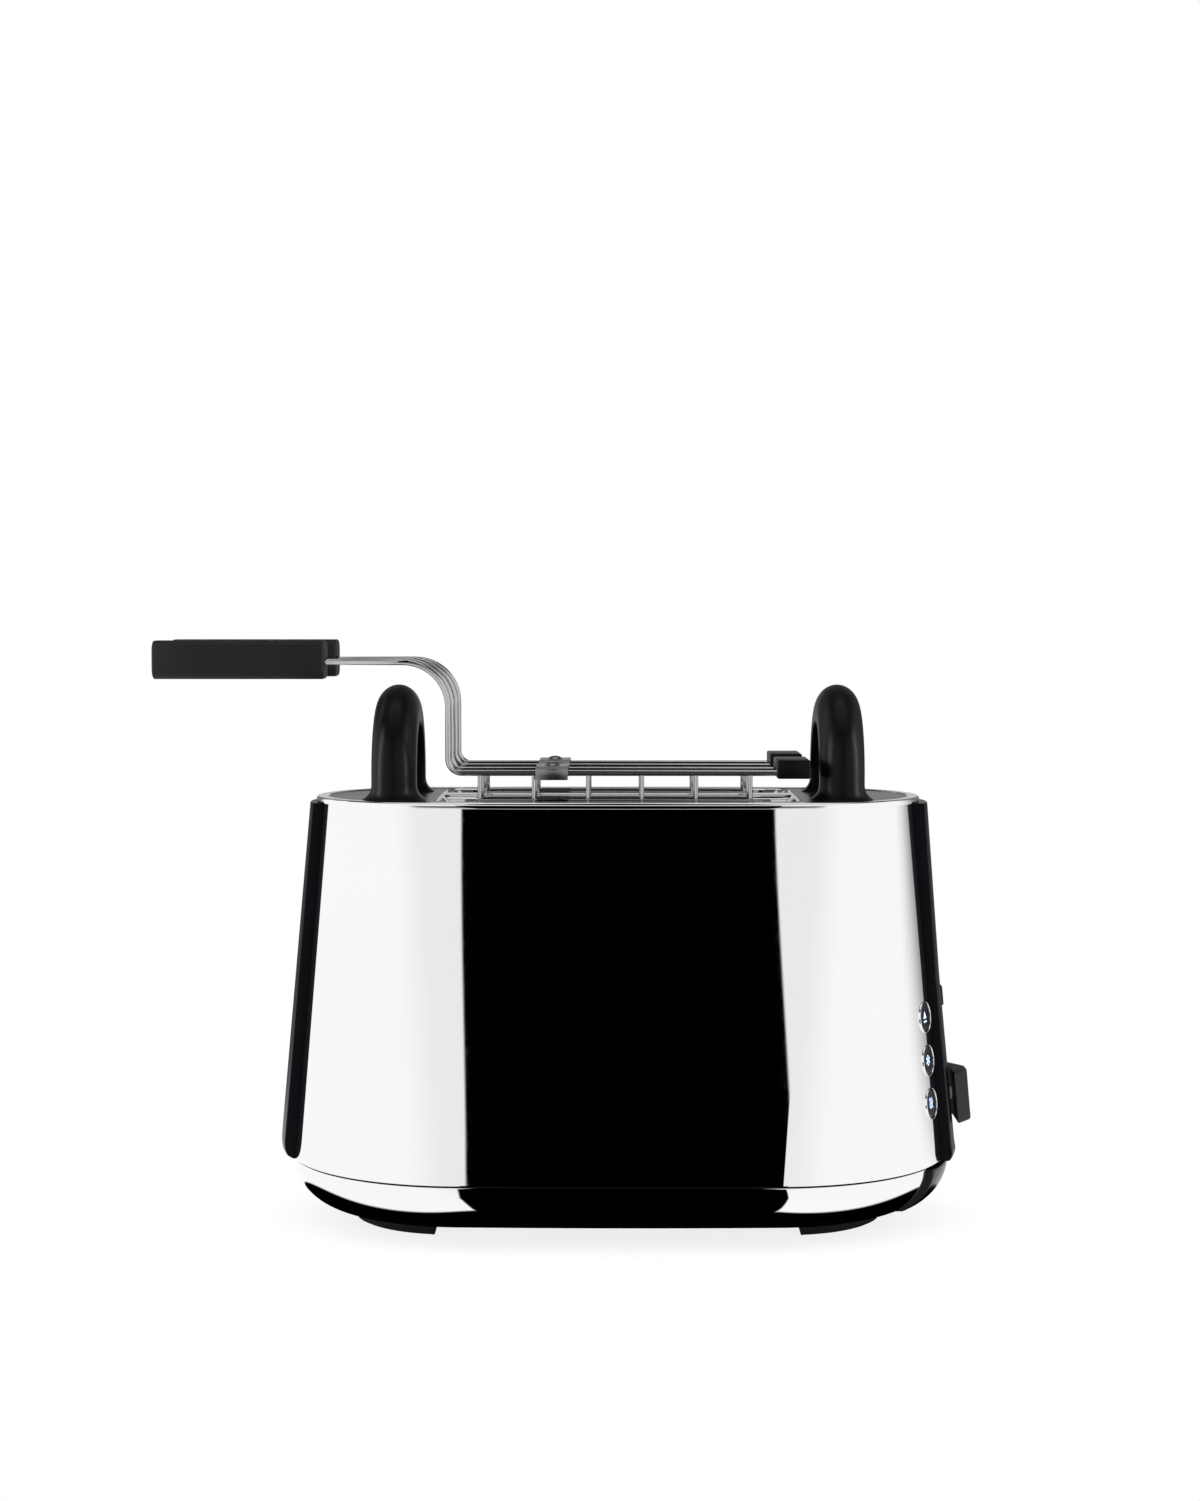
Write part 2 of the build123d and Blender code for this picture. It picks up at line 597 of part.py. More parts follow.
right_plate = end_plate(CHAMBER_HALF, 1)
left_plate = end_plate(-CHAMBER_HALF, -1)
plate_out_x = CHAMBER_HALF + CHASSIS_SHEET
flange_y = (-FLANGE_HALF, FLANGE_HALF)
with BuildPart() as chassis_right:
    add(right_plate)
    add(slab((plate_out_x, plate_out_x + FLANGE_REACH), flange_y, (CHASSIS_LOW_Z, FLANGE_TOP_Z)))
    add(slab((plate_out_x, plate_out_x + TOP_FLANGE_REACH), flange_y,
             (CHASSIS_TOP_Z - CHASSIS_SHEET, CHASSIS_TOP_Z)))
    with BuildSketch(Plane.XY.offset(CHASSIS_TOP_Z - 5)):
        with Locations((ROD_X, 0)):
            Circle(ROD_RADIUS)
    extrude(amount=10, mode=Mode.SUBTRACT)
finish(chassis_right, "chassis_right")

with BuildPart() as chassis_left:
    add(left_plate)
finish(chassis_left, "chassis_left")

for name, side in (("heat_shield_front", -1), ("heat_shield_rear", 1)):
    shield_y = sorted((side * CHASSIS_HALF_DEPTH, side * (CHASSIS_HALF_DEPTH + TROUGH_SHEET)))
    with BuildPart() as heat_shield:
        add(slab((-plate_out_x, plate_out_x), shield_y, (CHASSIS_LOW_Z, CHASSIS_TOP_Z)))
        with BuildSketch(Plane.XZ.offset(-60)):
            with Locations((0, (CHASSIS_LOW_Z + CHASSIS_TOP_Z) / 2)):
                with GridLocations(26, 100, 5, 2):
                    SlotOverall(18, 5)
        extrude(amount=120, mode=Mode.SUBTRACT)
    finish(heat_shield, name)

# Heaters: a mica board each side of each slot, wound with flat ribbon on the side of the bread
heater_sides = [(name, slot, away) for name, slot, away in (
    ("heater_front_outer", -1, 1), ("heater_front_inner", -1, -1),
    ("heater_rear_inner", 1, -1), ("heater_rear_outer", 1, 1))]
ribbon_step = (HEATER_TOP_Z - HEATER_LOW_Z - 20) / (RIBBON_COUNT - 1)
for name, slot, away in heater_sides:
    face_y = slot * (SLOT_PITCH / 2 + away * HEATER_OFFSET)
    board_y = sorted((face_y, face_y + slot * away * MICA))
    with BuildPart() as heater:
        add(slab((-CHAMBER_HALF, CHAMBER_HALF), board_y, (HEATER_LOW_Z, HEATER_TOP_Z)))
    finish(heater, name)

with BuildPart() as heating_ribbons:
    for name, slot, away in heater_sides:
        face_y = slot * (SLOT_PITCH / 2 + away * HEATER_OFFSET)
        strip_y = sorted((face_y, face_y - slot * away * RIBBON_THICK))
        for turn in range(RIBBON_COUNT):
            low_z = HEATER_LOW_Z + 10 + turn * ribbon_step - RIBBON_WIDE / 2
            add(slab((-CHAMBER_HALF + 6, CHAMBER_HALF - 6), strip_y, (low_z, low_z + RIBBON_WIDE)))
finish(heating_ribbons, "heating_ribbons")

# Bread guards: thin wires that keep the bread off the ribbons, held in the end plates
guard_columns = [-54 + 27 * step for step in range(5)]
for name, slot in (("guard_front", -1), ("guard_rear", 1)):
    planes_y = [slot * SLOT_PITCH / 2 + side * GUARD_OFFSET for side in (-1, 1)]
    long_places = [(y, z) for y in planes_y for z in (GUARD_LOW_Z, HEATER_TOP_Z)]
    short_places = [(x, y) for x in guard_columns for y in planes_y]
    long_wires = rods_along_x(-CHAMBER_HALF, CHAMBER_HALF, long_places, GUARD_RADIUS)
    short_wires = rods_along_z(GUARD_LOW_Z, HEATER_TOP_Z, short_places, GUARD_CROSS_RADIUS)
    with BuildPart() as guard:
        add(long_wires)
        add(short_wires)
    finish(guard, name)

# Guide rod, electromagnet and return spring
with BuildPart() as guide_rod:
    with BuildSketch(Plane.XY.offset(FLANGE_TOP_Z)):
        with Locations((ROD_X, 0)):
            Circle(ROD_RADIUS)
    extrude(amount=CHASSIS_TOP_Z + 1 - FLANGE_TOP_Z)
finish(guide_rod, "guide_rod")

with BuildPart() as electromagnet:
    with BuildSketch(Plane.XY.offset(FLANGE_TOP_Z)):
        with Locations((MAGNET_X, 0)):
            Rectangle(MAGNET_CORE, MAGNET_CORE)
    extrude(amount=MAGNET_TOP_Z - FLANGE_TOP_Z)
    with BuildSketch(Plane.XY.offset(FLANGE_TOP_Z + 3)):
        with Locations((MAGNET_X, 0)):
            RectangleRounded(MAGNET_COIL, MAGNET_COIL, 5)
    extrude(amount=MAGNET_TOP_Z - FLANGE_TOP_Z - 6)
finish(electromagnet, "electromagnet")

with BuildPart() as return_spring:
    with BuildSketch(Plane.XY.offset(TAB_TOP_Z)):
        with Locations((ROD_X, SPRING_Y)):
            Circle(SPRING_RADIUS)
            Circle(SPRING_BORE, mode=Mode.SUBTRACT)
    extrude(amount=CHASSIS_TOP_Z - CHASSIS_SHEET - TAB_TOP_Z)
finish(return_spring, "return_spring")

# Carriage: a sleeve on the rod, a crossbar to both lifters, the lever's arm and the armature
sleeve_left = ROD_X - SLEEVE_HALF_X
sleeve_right = ROD_X + SLEEVE_HALF_X
crossbar_z = (LIFTER_WEB_TOP_Z - LIFTER_WEB - 1, LIFTER_TOP_Z - 2)
arm_y = (-LEVER_THICK / 2, LEVER_THICK / 2)
arm_z = (LEVER_Z - LEVER_HIGH / 2, LEVER_Z + LEVER_HIGH / 2)
armature_low_z = MAGNET_TOP_Z + GAP
with BuildPart() as carriage:
    add(slab((sleeve_left, sleeve_right), (-SLEEVE_HALF_Y, SLEEVE_HALF_Y),
             (CARRIAGE_LOW_Z, CARRIAGE_LOW_Z + CARRIAGE_HIGH)))
    add(slab((sleeve_left, sleeve_left + CROSSBAR_THICK), (-CROSSBAR_HALF, CROSSBAR_HALF), crossbar_z))
    add(slab((ROD_X - 4, ROD_X + 4), (SLEEVE_HALF_Y, SPRING_Y + 4), (TAB_TOP_Z - TAB_THICK, TAB_TOP_Z)))
    add(slab((sleeve_right, KNOB_BACK_X), arm_y, arm_z))
    add(slab((ROD_X + 4, MAGNET_X + ARMATURE_HALF), (-ARMATURE_HALF, ARMATURE_HALF),
             (armature_low_z, armature_low_z + ARMATURE)))
    add(slab((ROD_X + 6, MAGNET_X), arm_y, (armature_low_z, arm_z[0])))
    with BuildSketch(Plane.XY.offset(CARRIAGE_LOW_Z - 5)):
        with Locations((ROD_X, 0)):
            Circle(ROD_RADIUS + RUNNING)
    extrude(amount=CARRIAGE_HIGH + 10, mode=Mode.SUBTRACT)
finish(carriage, "carriage")

# Lever knob: a block that leans with the panel, its outer face slightly hollow for the finger
knob_lean = (TIP_LOW - TIP_TOP) / (SHELL_TOP_Z - SHELL_LOW_Z) * KNOB_HIGH / 2
knob_low_z = LEVER_Z - KNOB_HIGH / 2
knob_face_x = KNOB_BACK_X + KNOB_DEEP
with BuildPart() as lever_knob:
    with BuildSketch(Plane.XZ.offset(-KNOB_WIDE / 2)):
        with BuildLine():
            Polyline((knob_face_x + knob_lean, knob_low_z), (KNOB_BACK_X + knob_lean, knob_low_z),
                     (KNOB_BACK_X - knob_lean, knob_low_z + KNOB_HIGH),
                     (knob_face_x - knob_lean, knob_low_z + KNOB_HIGH))
            ThreePointArc((knob_face_x - knob_lean, knob_low_z + KNOB_HIGH),
                          (knob_face_x - KNOB_HOLLOW, LEVER_Z), (knob_face_x + knob_lean, knob_low_z))
        make_face()
    extrude(amount=KNOB_WIDE)
    fillet(edges().filter_by(Axis.Y), radius=KNOB_ROUND)
    add(slab((KNOB_BACK_X - 5, KNOB_BACK_X), arm_y, arm_z), mode=Mode.SUBTRACT)
finish(lever_knob, "lever_knob")

for name, side in (("lifter_front", -1), ("lifter_rear", 1)):
    middle_y = side * SLOT_PITCH / 2
    with BuildPart() as lifter:
        add(slab((-CHAMBER_HALF - 4, sleeve_left),
                 (middle_y - LIFTER_THICK / 2, middle_y + LIFTER_THICK / 2),
                 (LIFTER_WEB_TOP_Z - LIFTER_WEB, LIFTER_WEB_TOP_Z)))
        with BuildSketch(Plane.XY.offset(LIFTER_WEB_TOP_Z)):
            with Locations((0, middle_y)):
                Rectangle(LIFTER_LONG, LIFTER_WIDE)
                with GridLocations(LIFTER_PITCH, 0, 10, 1):
                    SlotOverall(LIFTER_WIDE - 6, 5, rotation=90, mode=Mode.SUBTRACT)
                Rectangle(LIFTER_LONG, LIFTER_THICK + 2)
        extrude(amount=LIFTER_THICK)
    finish(lifter, name)

# Push buttons, their bright rings and the board behind them
for name, plane in zip(("button_eject", "button_defrost", "button_reheat"), button_planes):
    with BuildPart() as button:
        with BuildSketch(plane.offset(BUTTON_PROUD - BUTTON_CAP)):
            Circle(BUTTON_RADIUS)
        extrude(amount=BUTTON_CAP)
        fillet(faces().sort_by(Axis(plane.origin, plane.z_dir))[-1].edges(), radius=0.5)
        with BuildSketch(plane.offset(-BUTTON_REACH)):
            Circle(BUTTON_STEM)
        extrude(amount=BUTTON_REACH + BUTTON_PROUD - BUTTON_CAP)
    finish(button, name)

with BuildPart() as button_rings:
    for plane in button_planes:
        with BuildSketch(plane.offset(-SHEET - 0.6)):
            Circle(RING_HOLE)
            Circle(RING_BORE, mode=Mode.SUBTRACT)
        extrude(amount=SHEET + 0.6 + RING_PROUD)
finish(button_rings, "button_rings")

board_level = -(BUTTON_REACH + BUTTON_TRAVEL + GAP + SWITCH_HIGH)
with BuildPart() as switch_board:
    with BuildSketch(button_planes[1].offset(board_level - BOARD)):
        RectangleRounded(SWITCH_BOARD_WIDE, SWITCH_BOARD_HIGH, 2)
    extrude(amount=BOARD)
    for plane in button_planes:
        with BuildSketch(plane.offset(board_level)):
            Rectangle(SWITCH, SWITCH)
        extrude(amount=SWITCH_HIGH)
    with BuildSketch(button_planes[1].offset(board_level)):
        with GridLocations(0, POST_PITCH, 1, 2):
            Circle(POST_RADIUS)
    extrude(amount=-board_level - SHEET - 0.2)
    add(shell_inside, mode=Mode.INTERSECT)
finish(switch_board, "switch_board")

# Browning slider: a small knob on a stem that runs along the leaning panel
slider_reach = taper(SLIDER_Z, TIP_LOW, TIP_TOP)
slider_plane = Plane(origin=(slider_reach + SLIDER_SEAT, SLIDER_Y, SLIDER_Z), x_dir=(0, 1, 0),
                     z_dir=(cos(radians(END_LEAN)), 0, sin(radians(END_LEAN))))
with BuildPart() as browning_knob:
    with BuildSketch(slider_plane.offset(GAP)):
        RectangleRounded(SLIDER_WIDE, SLIDER_HIGH, 1.5)
    extrude(amount=SLIDER_PROUD)
    fillet(faces().sort_by(Axis(slider_plane.origin, slider_plane.z_dir))[-1].edges(), radius=0.4)
    with BuildSketch(slider_plane.offset(-SLIDER_TRACK_DEEP)):
        Rectangle(SLIDER_STEM, SLIDER_STEM)
    extrude(amount=SLIDER_TRACK_DEEP + GAP)
finish(browning_knob, "browning_knob")

track_middle = (SLIDER_UP - SLIDER_DOWN) / 2
track_high = SLIDER_UP + SLIDER_DOWN
with BuildPart() as browning_control:
    with BuildSketch(slider_plane.offset(-SLIDER_TRACK_DEEP - 8)):
        with Locations((0, track_middle)):
            Rectangle(SLIDER_TRACK_WIDE, track_high + 12)
    extrude(amount=SLIDER_TRACK_DEEP)
    with BuildSketch(slider_plane.offset(-SLIDER_TRACK_DEEP - 4)):
        with Locations((0, track_middle)):
            Rectangle(SLIDER_STEM + 2 * GAP, track_high + SLIDER_STEM + 2 * GAP)
    extrude(amount=SLIDER_TRACK_DEEP, mode=Mode.SUBTRACT)
    add(shell_inside, mode=Mode.INTERSECT)
finish(browning_control, "browning_control")

# Control board beside the carriage
board_face_y = CONTROL_BOARD_Y + BOARD
board_right = CONTROL_BOARD_LEFT + CONTROL_BOARD_LONG
with BuildPart() as control_board:
    add(slab((CONTROL_BOARD_LEFT, board_right), (CONTROL_BOARD_Y, board_face_y),
             (FLANGE_TOP_Z, CONTROL_BOARD_TOP_Z)))
    for low_z, high, deep in CONTROL_PARTS:
        add(slab((CONTROL_BOARD_LEFT + 3, board_right - 3), (board_face_y, board_face_y + deep),
                 (low_z, low_z + high)))
finish(control_board, "control_board")

# Cord entry: a bushing in the back of the skirt, and the terminal block inside
with BuildPart() as cord_inlet:
    with BuildSketch(Plane.XZ.offset(-BOWL_DEPTH - 0.8)):
        with Locations((INLET_X, INLET_Z)):
            Circle(INLET_FLANGE)
    extrude(amount=7)
    add(skirt_outside, mode=Mode.SUBTRACT)
    with BuildSketch(Plane.XZ.offset(-BOWL_DEPTH - 0.8)):
        with Locations((INLET_X, INLET_Z)):
            RectangleRounded(INLET_SQUARE, INLET_SQUARE, INLET_CORNER)
            Circle(INLET_BORE, mode=Mode.SUBTRACT)
    extrude(amount=INLET_LONG)
    with BuildSketch(Plane.XZ.offset(-BOWL_DEPTH - 5)):
        with Locations((INLET_X, INLET_Z)):
            Circle(INLET_BORE)
    extrude(amount=30, mode=Mode.SUBTRACT)
finish(cord_inlet, "cord_inlet")

terminal_y = CHASSIS_HALF_DEPTH + 1.2
with BuildPart() as terminal_block:
    add(slab((INLET_X - TERMINAL_HALF, INLET_X + TERMINAL_HALF), (terminal_y, terminal_y + TERMINAL_DEEP),
             (FLOOR_Z, FLOOR_Z + TERMINAL_HIGH)))
    with BuildSketch(Plane.XZ.offset(-70)):
        with Locations((INLET_X, FLOOR_Z + TERMINAL_HIGH / 2)):
            with GridLocations(TERMINAL_PITCH, 0, 3, 1):
                Circle(1.6)
    extrude(amount=25, mode=Mode.SUBTRACT)
finish(terminal_block, "terminal_block")

# Crumb tray and its black front, which follows the bowl's round end
tray_inset = (BOWL_RUN * (1 - cos(asin((BOWL_TOP_Z - TRAY_LOW_Z) / BOWL_HEIGHT)))
              + TRAY_FRONT_THICK - TRAY_FRONT_PROUD + 0.05)
with BuildPart() as crumb_tray:
    with BuildSketch(Plane.XY.offset(TRAY_LOW_Z)):
        add(outline(BOWL_TIP - tray_inset, BOWL_DEPTH - tray_inset, 0))
        with Locations(((TRAY_LEFT + 160) / 2, 0)):
            Rectangle(160 - TRAY_LEFT, 2 * TRAY_HALF, mode=Mode.INTERSECT)
    extrude(amount=TRAY_HIGH)
    offset(amount=-TRAY_SHEET, openings=faces().sort_by(Axis.Z)[-1])
finish(crumb_tray, "crumb_tray")

front_outside = bowl_solid(TRAY_FRONT_PROUD, TRAY_LOW_Z, TRAY_FRONT_TOP_Z)
front_inside = bowl_solid(TRAY_FRONT_PROUD - TRAY_FRONT_THICK, TRAY_LOW_Z, TRAY_FRONT_TOP_Z)
with BuildPart() as tray_front:
    add(front_outside)
    add(front_inside, mode=Mode.SUBTRACT)
    add(slab((60, 175), (-TRAY_HALF, TRAY_HALF), (TRAY_LOW_Z, TRAY_FRONT_TOP_Z)), mode=Mode.INTERSECT)
finish(tray_front, "tray_front")


def rail(start_x, gather_y, plane_y):
    """A rail wire from inside the handle, over the grip, down and along the slot."""
    points = [(start_x, gather_y, ARM_Z), (GATHER_X, gather_y, ARM_Z), (SPREAD_X, plane_y, ARM_Z),
              (RISER_X, plane_y, ARM_Z), (RISER_X, plane_y, RAIL_Z), (RAIL_END_X, plane_y, RAIL_Z)]
    return bent_wire(points, [SPREAD_BEND, SPREAD_BEND, UPPER_BEND, LOWER_BEND], RAIL_RADIUS)


# Sandwich racks: each is a fixed wire grid in a handle, and a jaw grid that turns on a pin in it
grid_columns = [GRID_FIRST_X + GRID_PITCH * step for step in range(GRID_COUNT)]
outer_start_x = HANDLE_RIGHT - RAIL_IN_HANDLE
for name, slot in (("front", -1), ("rear", 1)):
    middle_y = slot * SLOT_PITCH / 2
    outer_y = middle_y + slot * WIRE_HALF
    inner_y = middle_y - slot * WIRE_HALF
    fixed_y = middle_y + slot * HANDLE_HALF
    pivot_y = middle_y - slot * HANDLE_HALF

    outer_wire = rail(outer_start_x, fixed_y, outer_y)
    with BuildPart() as outer_arm:
        add(outer_wire)
    finish(outer_arm, f"{name}_outer_arm")

    jaw_wire = rail(PIVOT_X + PIVOT_RADIUS + 0.6, pivot_y, inner_y)
    with BuildPart() as inner_arm:
        add(jaw_wire)
        with BuildSketch(Plane.XY.offset(ARM_Z - RAIL_RADIUS)):
            with Locations((PIVOT_X, pivot_y)):
                Circle(EYE_RADIUS)
        extrude(amount=2 * RAIL_RADIUS)
        with BuildSketch(Plane.XY.offset(ARM_Z - 5)):
            with Locations((PIVOT_X, pivot_y)):
                Circle(PIVOT_RADIUS + RUNNING)
        extrude(amount=10, mode=Mode.SUBTRACT)
    finish(inner_arm, f"{name}_inner_arm")

    for grid_name, plane_y, inward in (("outer_grid", outer_y, -slot), ("inner_grid", inner_y, slot)):
        long_wires = rods_along_x(grid_columns[0] - 1.5, grid_columns[-1] + 1.5,
                                  [(plane_y, z) for z in GRID_LEVELS], GRID_RADIUS)
        columns = [bent_wire([(x, plane_y, RAIL_Z - RAIL_RADIUS), (x, plane_y, FINGER_Z),
                              (x, plane_y + inward * FINGER, FINGER_Z)], [FINGER_BEND], GRID_RADIUS)
                   for x in grid_columns]
        with BuildPart() as grid:
            add(long_wires)
            add(columns)
        finish(grid, f"{name}_{grid_name}")

    pocket_half = EYE_RADIUS + 0.6
    with BuildPart() as handle:
        with BuildSketch(Plane.YZ.offset(HANDLE_LEFT)):
            with Locations((middle_y, HANDLE_LOW_Z + HANDLE_HIGH / 2)):
                RectangleRounded(HANDLE_THICK, HANDLE_HIGH, HANDLE_ROUND)
        extrude(amount=HANDLE_RIGHT - HANDLE_LEFT)
        fillet(edges().group_by(Axis.X)[0] + edges().group_by(Axis.X)[-1], radius=0.8)
        add(slab((PIVOT_X - pocket_half, HANDLE_RIGHT + 5), (pivot_y - pocket_half, pivot_y + pocket_half),
                 (ARM_Z - RAIL_RADIUS - GAP, ARM_Z + RAIL_RADIUS + GAP)), mode=Mode.SUBTRACT)
        with BuildSketch(Plane.YZ.offset(outer_start_x)):
            with Locations((fixed_y, ARM_Z)):
                Circle(RAIL_RADIUS)
        extrude(amount=RAIL_IN_HANDLE + 5, mode=Mode.SUBTRACT)
        with BuildSketch(Plane.XY.offset(HANDLE_LOW_Z - 1)):
            with Locations((PIVOT_X, pivot_y)):
                Circle(PIVOT_RADIUS)
        extrude(amount=HANDLE_HIGH + 2, mode=Mode.SUBTRACT)
    finish(handle, f"{name}_handle")

    with BuildPart() as pivot_pin:
        with BuildSketch(Plane.XY.offset(HANDLE_LOW_Z)):
            with Locations((PIVOT_X, pivot_y)):
                Circle(PIVOT_RADIUS)
        extrude(amount=HANDLE_HIGH)
    finish(pivot_pin, f"{name}_pivot_pin")

    with BuildPart() as tip_cap:
        add(slab((CAP_LEFT, CAP_RIGHT), (middle_y - CAP_HALF, middle_y + CAP_HALF), (CAP_LOW_Z, CAP_TOP_Z)))
        fillet(edges().filter_by(Axis.X).group_by(Axis.Z)[-1], radius=1.5)
        with BuildSketch(Plane.YZ.offset(CAP_LEFT - 1)):
            with Locations((outer_y, RAIL_Z)):
                Circle(RAIL_RADIUS)
        extrude(amount=RAIL_END_X - CAP_LEFT + 1, mode=Mode.SUBTRACT)
        swing_y = sorted((inner_y - slot * (RAIL_RADIUS + 0.5), inner_y + slot * (JAW_SWING + RAIL_RADIUS)))
        add(slab((CAP_LEFT - 1, RAIL_END_X + 1), swing_y,
                 (RAIL_Z - RAIL_RADIUS - GAP, RAIL_Z + RAIL_RADIUS + GAP)), mode=Mode.SUBTRACT)
    finish(tip_cap, f"{name}_tip_cap")

    roof_z = RAIL_Z + RAIL_RADIUS + GAP
    roof_half = WIRE_HALF + RAIL_RADIUS + GAP + CLIP_SHEET
    with BuildPart() as clip:
        add(slab((CLIP_LEFT, CLIP_LEFT + CLIP_LENGTH), (middle_y - roof_half, middle_y + roof_half),
                 (roof_z - CLIP_SKIRT, roof_z + CLIP_SHEET)))
        fillet(edges().filter_by(Axis.X).group_by(Axis.Z)[-1], radius=1.2)
        add(slab((CLIP_LEFT - 1, CLIP_LEFT + CLIP_LENGTH + 1),
                 (middle_y - roof_half + CLIP_SHEET, middle_y + roof_half - CLIP_SHEET),
                 (roof_z - CLIP_SKIRT - 1, roof_z)), mode=Mode.SUBTRACT)
        with BuildSketch(Plane.XY.offset(roof_z + CLIP_SHEET)):
            with Locations((CLIP_LEFT + CLIP_LENGTH / 2, middle_y)):
                Circle(DOME_RADIUS)
        extrude(amount=DOME_HIGH, taper=35)
    finish(clip, f"{name}_clip")
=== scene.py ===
"""Looks of a two-slot toaster: mirror shell, black arched grips and two lift-out sandwich racks.

Every piece is modelled in millimetres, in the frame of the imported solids, and becomes metres when it
is published. The camera stands in front, a little above the toaster, as in the photograph.
"""
import json
import logging
from dataclasses import dataclass, field
from enum import Enum
from math import acos, asin, atan2, cos, degrees, pi, radians, sin, sqrt
from typing import Callable, Sequence

import bmesh
import bpy
from bmesh.types import BMEdge, BMFace, BMVert
from mathutils import Matrix, Vector

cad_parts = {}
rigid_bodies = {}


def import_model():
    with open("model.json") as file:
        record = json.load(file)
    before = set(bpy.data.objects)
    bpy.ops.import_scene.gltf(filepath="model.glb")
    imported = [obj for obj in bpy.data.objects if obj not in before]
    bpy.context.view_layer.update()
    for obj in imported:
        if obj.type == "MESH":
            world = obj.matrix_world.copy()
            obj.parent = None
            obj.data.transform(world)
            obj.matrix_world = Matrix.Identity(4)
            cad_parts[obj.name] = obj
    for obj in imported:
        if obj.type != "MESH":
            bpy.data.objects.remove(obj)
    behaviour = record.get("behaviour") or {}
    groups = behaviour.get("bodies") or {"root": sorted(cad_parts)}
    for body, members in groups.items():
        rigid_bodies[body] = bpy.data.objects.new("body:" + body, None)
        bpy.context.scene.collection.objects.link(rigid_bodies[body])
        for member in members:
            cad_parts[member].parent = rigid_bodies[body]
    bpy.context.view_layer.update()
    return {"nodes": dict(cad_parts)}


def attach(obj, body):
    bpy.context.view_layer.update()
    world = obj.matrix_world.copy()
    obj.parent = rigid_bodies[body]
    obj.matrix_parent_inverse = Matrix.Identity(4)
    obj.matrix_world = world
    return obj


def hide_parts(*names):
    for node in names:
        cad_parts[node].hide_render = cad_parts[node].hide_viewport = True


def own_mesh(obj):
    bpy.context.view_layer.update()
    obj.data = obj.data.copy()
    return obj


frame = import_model()

log = logging.getLogger("toaster")
MM = 0.001
WHITE = (1.0, 1.0, 1.0, 1.0)
BLACK = (0.0, 0.0, 0.0, 1.0)
Plan = Callable[[float], Vector]
Point = tuple[float, float, float]
Pair = tuple[float, float]
Outward = Callable[[Vector], tuple[float, Vector]]


class End(Enum):
    """The two ends of the body, as signs along X."""

    LEFT = -1
    RIGHT = 1


class Side(Enum):
    """The two slots, as signs along Y."""

    FRONT = -1
    REAR = 1


class Symbol(Enum):
    """What a lit push button shows."""

    EJECT = "eject"
    DEFROST = "defrost"
    REHEAT = "reheat"


class Grain(Enum):
    """How a finish's fine pattern runs over the surface."""

    EVEN = (1.0, 1.0, 1.0)
    BRUSHED_LENGTHWAYS = (0.02, 1.0, 1.0)
    DRAWN_DOWN = (1.0, 1.0, 0.03)


def feed(tree: bpy.types.NodeTree, node: bpy.types.Node, inputs: dict[str | int, object]) -> None:
    """Give a node its inputs.

    Args:
        tree: the nodes that it belongs to.
        node: the node that is fed.
        inputs: readings or sockets to link and plain values to set, by input.
    """
    for name, value in inputs.items():
        value = value.socket if isinstance(value, Reading) else value
        if isinstance(value, bpy.types.NodeSocket):
            tree.links.new(value, node.inputs[name])
        else:
            node.inputs[name].default_value = value


def add_node(tree: bpy.types.NodeTree, kind: str, inputs: dict[str | int, object] | None = None,
             **settings: object) -> bpy.types.Node:
    """Add a shader node, set it and give it its inputs.

    Args:
        tree: the nodes that it joins.
        kind: the node's type, without the prefix that all shader nodes have.
        inputs: readings or sockets to link and plain values to set, by input.
        settings: the node's own properties.

    Returns:
        The node.
    """
    node = tree.nodes.new(f"ShaderNode{kind}")
    for name, value in settings.items():
        setattr(node, name, value)
    feed(tree, node, inputs or {})
    return node


@dataclass(frozen=True)
class Reading:
    """A number in a node tree; sums, products and steps made from it become nodes."""

    tree: bpy.types.NodeTree
    socket: bpy.types.NodeSocket

    def math(self, kind: str, *others: "Reading | float") -> "Reading":
        """Work out a new reading with a Math node.

        Args:
            kind: the node's operation.
            others: the inputs that come after this reading.

        Returns:
            The result.
        """
        node = add_node(self.tree, "Math", dict(enumerate((self, *others))), operation=kind)
        return Reading(self.tree, node.outputs["Value"])

    def __add__(self, other: "Reading | float") -> "Reading":
        """The sum of two readings."""
        return self.math("ADD", other)

    def __sub__(self, other: "Reading | float") -> "Reading":
        """The reading less another."""
        return self.math("SUBTRACT", other)

    def __mul__(self, other: "Reading | float") -> "Reading":
        """The product of two readings."""
        return self.math("MULTIPLY", other)

    def __truediv__(self, other: "Reading | float") -> "Reading":
        """The reading divided by another."""
        return self.math("DIVIDE", other)

    def __pow__(self, power: float) -> "Reading":
        """A power of the reading."""
        return self.math("POWER", power)

    def __neg__(self) -> "Reading":
        """The reading with its sign changed."""
        return self * -1.0

    def __abs__(self) -> "Reading":
        """The reading without its sign."""
        return self.math("ABSOLUTE")

    def at_least(self, other: "Reading | float") -> "Reading":
        """The larger of two readings."""
        return self.math("MAXIMUM", other)

    def at_most(self, other: "Reading | float") -> "Reading":
        """The smaller of two readings."""
        return self.math("MINIMUM", other)

    def step(self, span: Pair, start: float, stop: float) -> "Reading":
        """A smooth step from one number to another.

        Args:
            span: the readings between which the step runs.
            start: the result below the span.
            stop: the result above it.

        Returns:
            The stepped reading.
        """
        node = add_node(self.tree, "MapRange", {"Value": self, "From Min": span[0], "From Max": span[1],
                                                "To Min": start, "To Max": stop},
                        interpolation_type="SMOOTHSTEP")
        return Reading(self.tree, node.outputs["Result"])

    def arc(self, span: Pair, start: float, stop: float) -> "Reading":
        """A smooth step of an angle, its span given in degrees."""
        return self.step((radians(span[0]), radians(span[1])), start, stop)


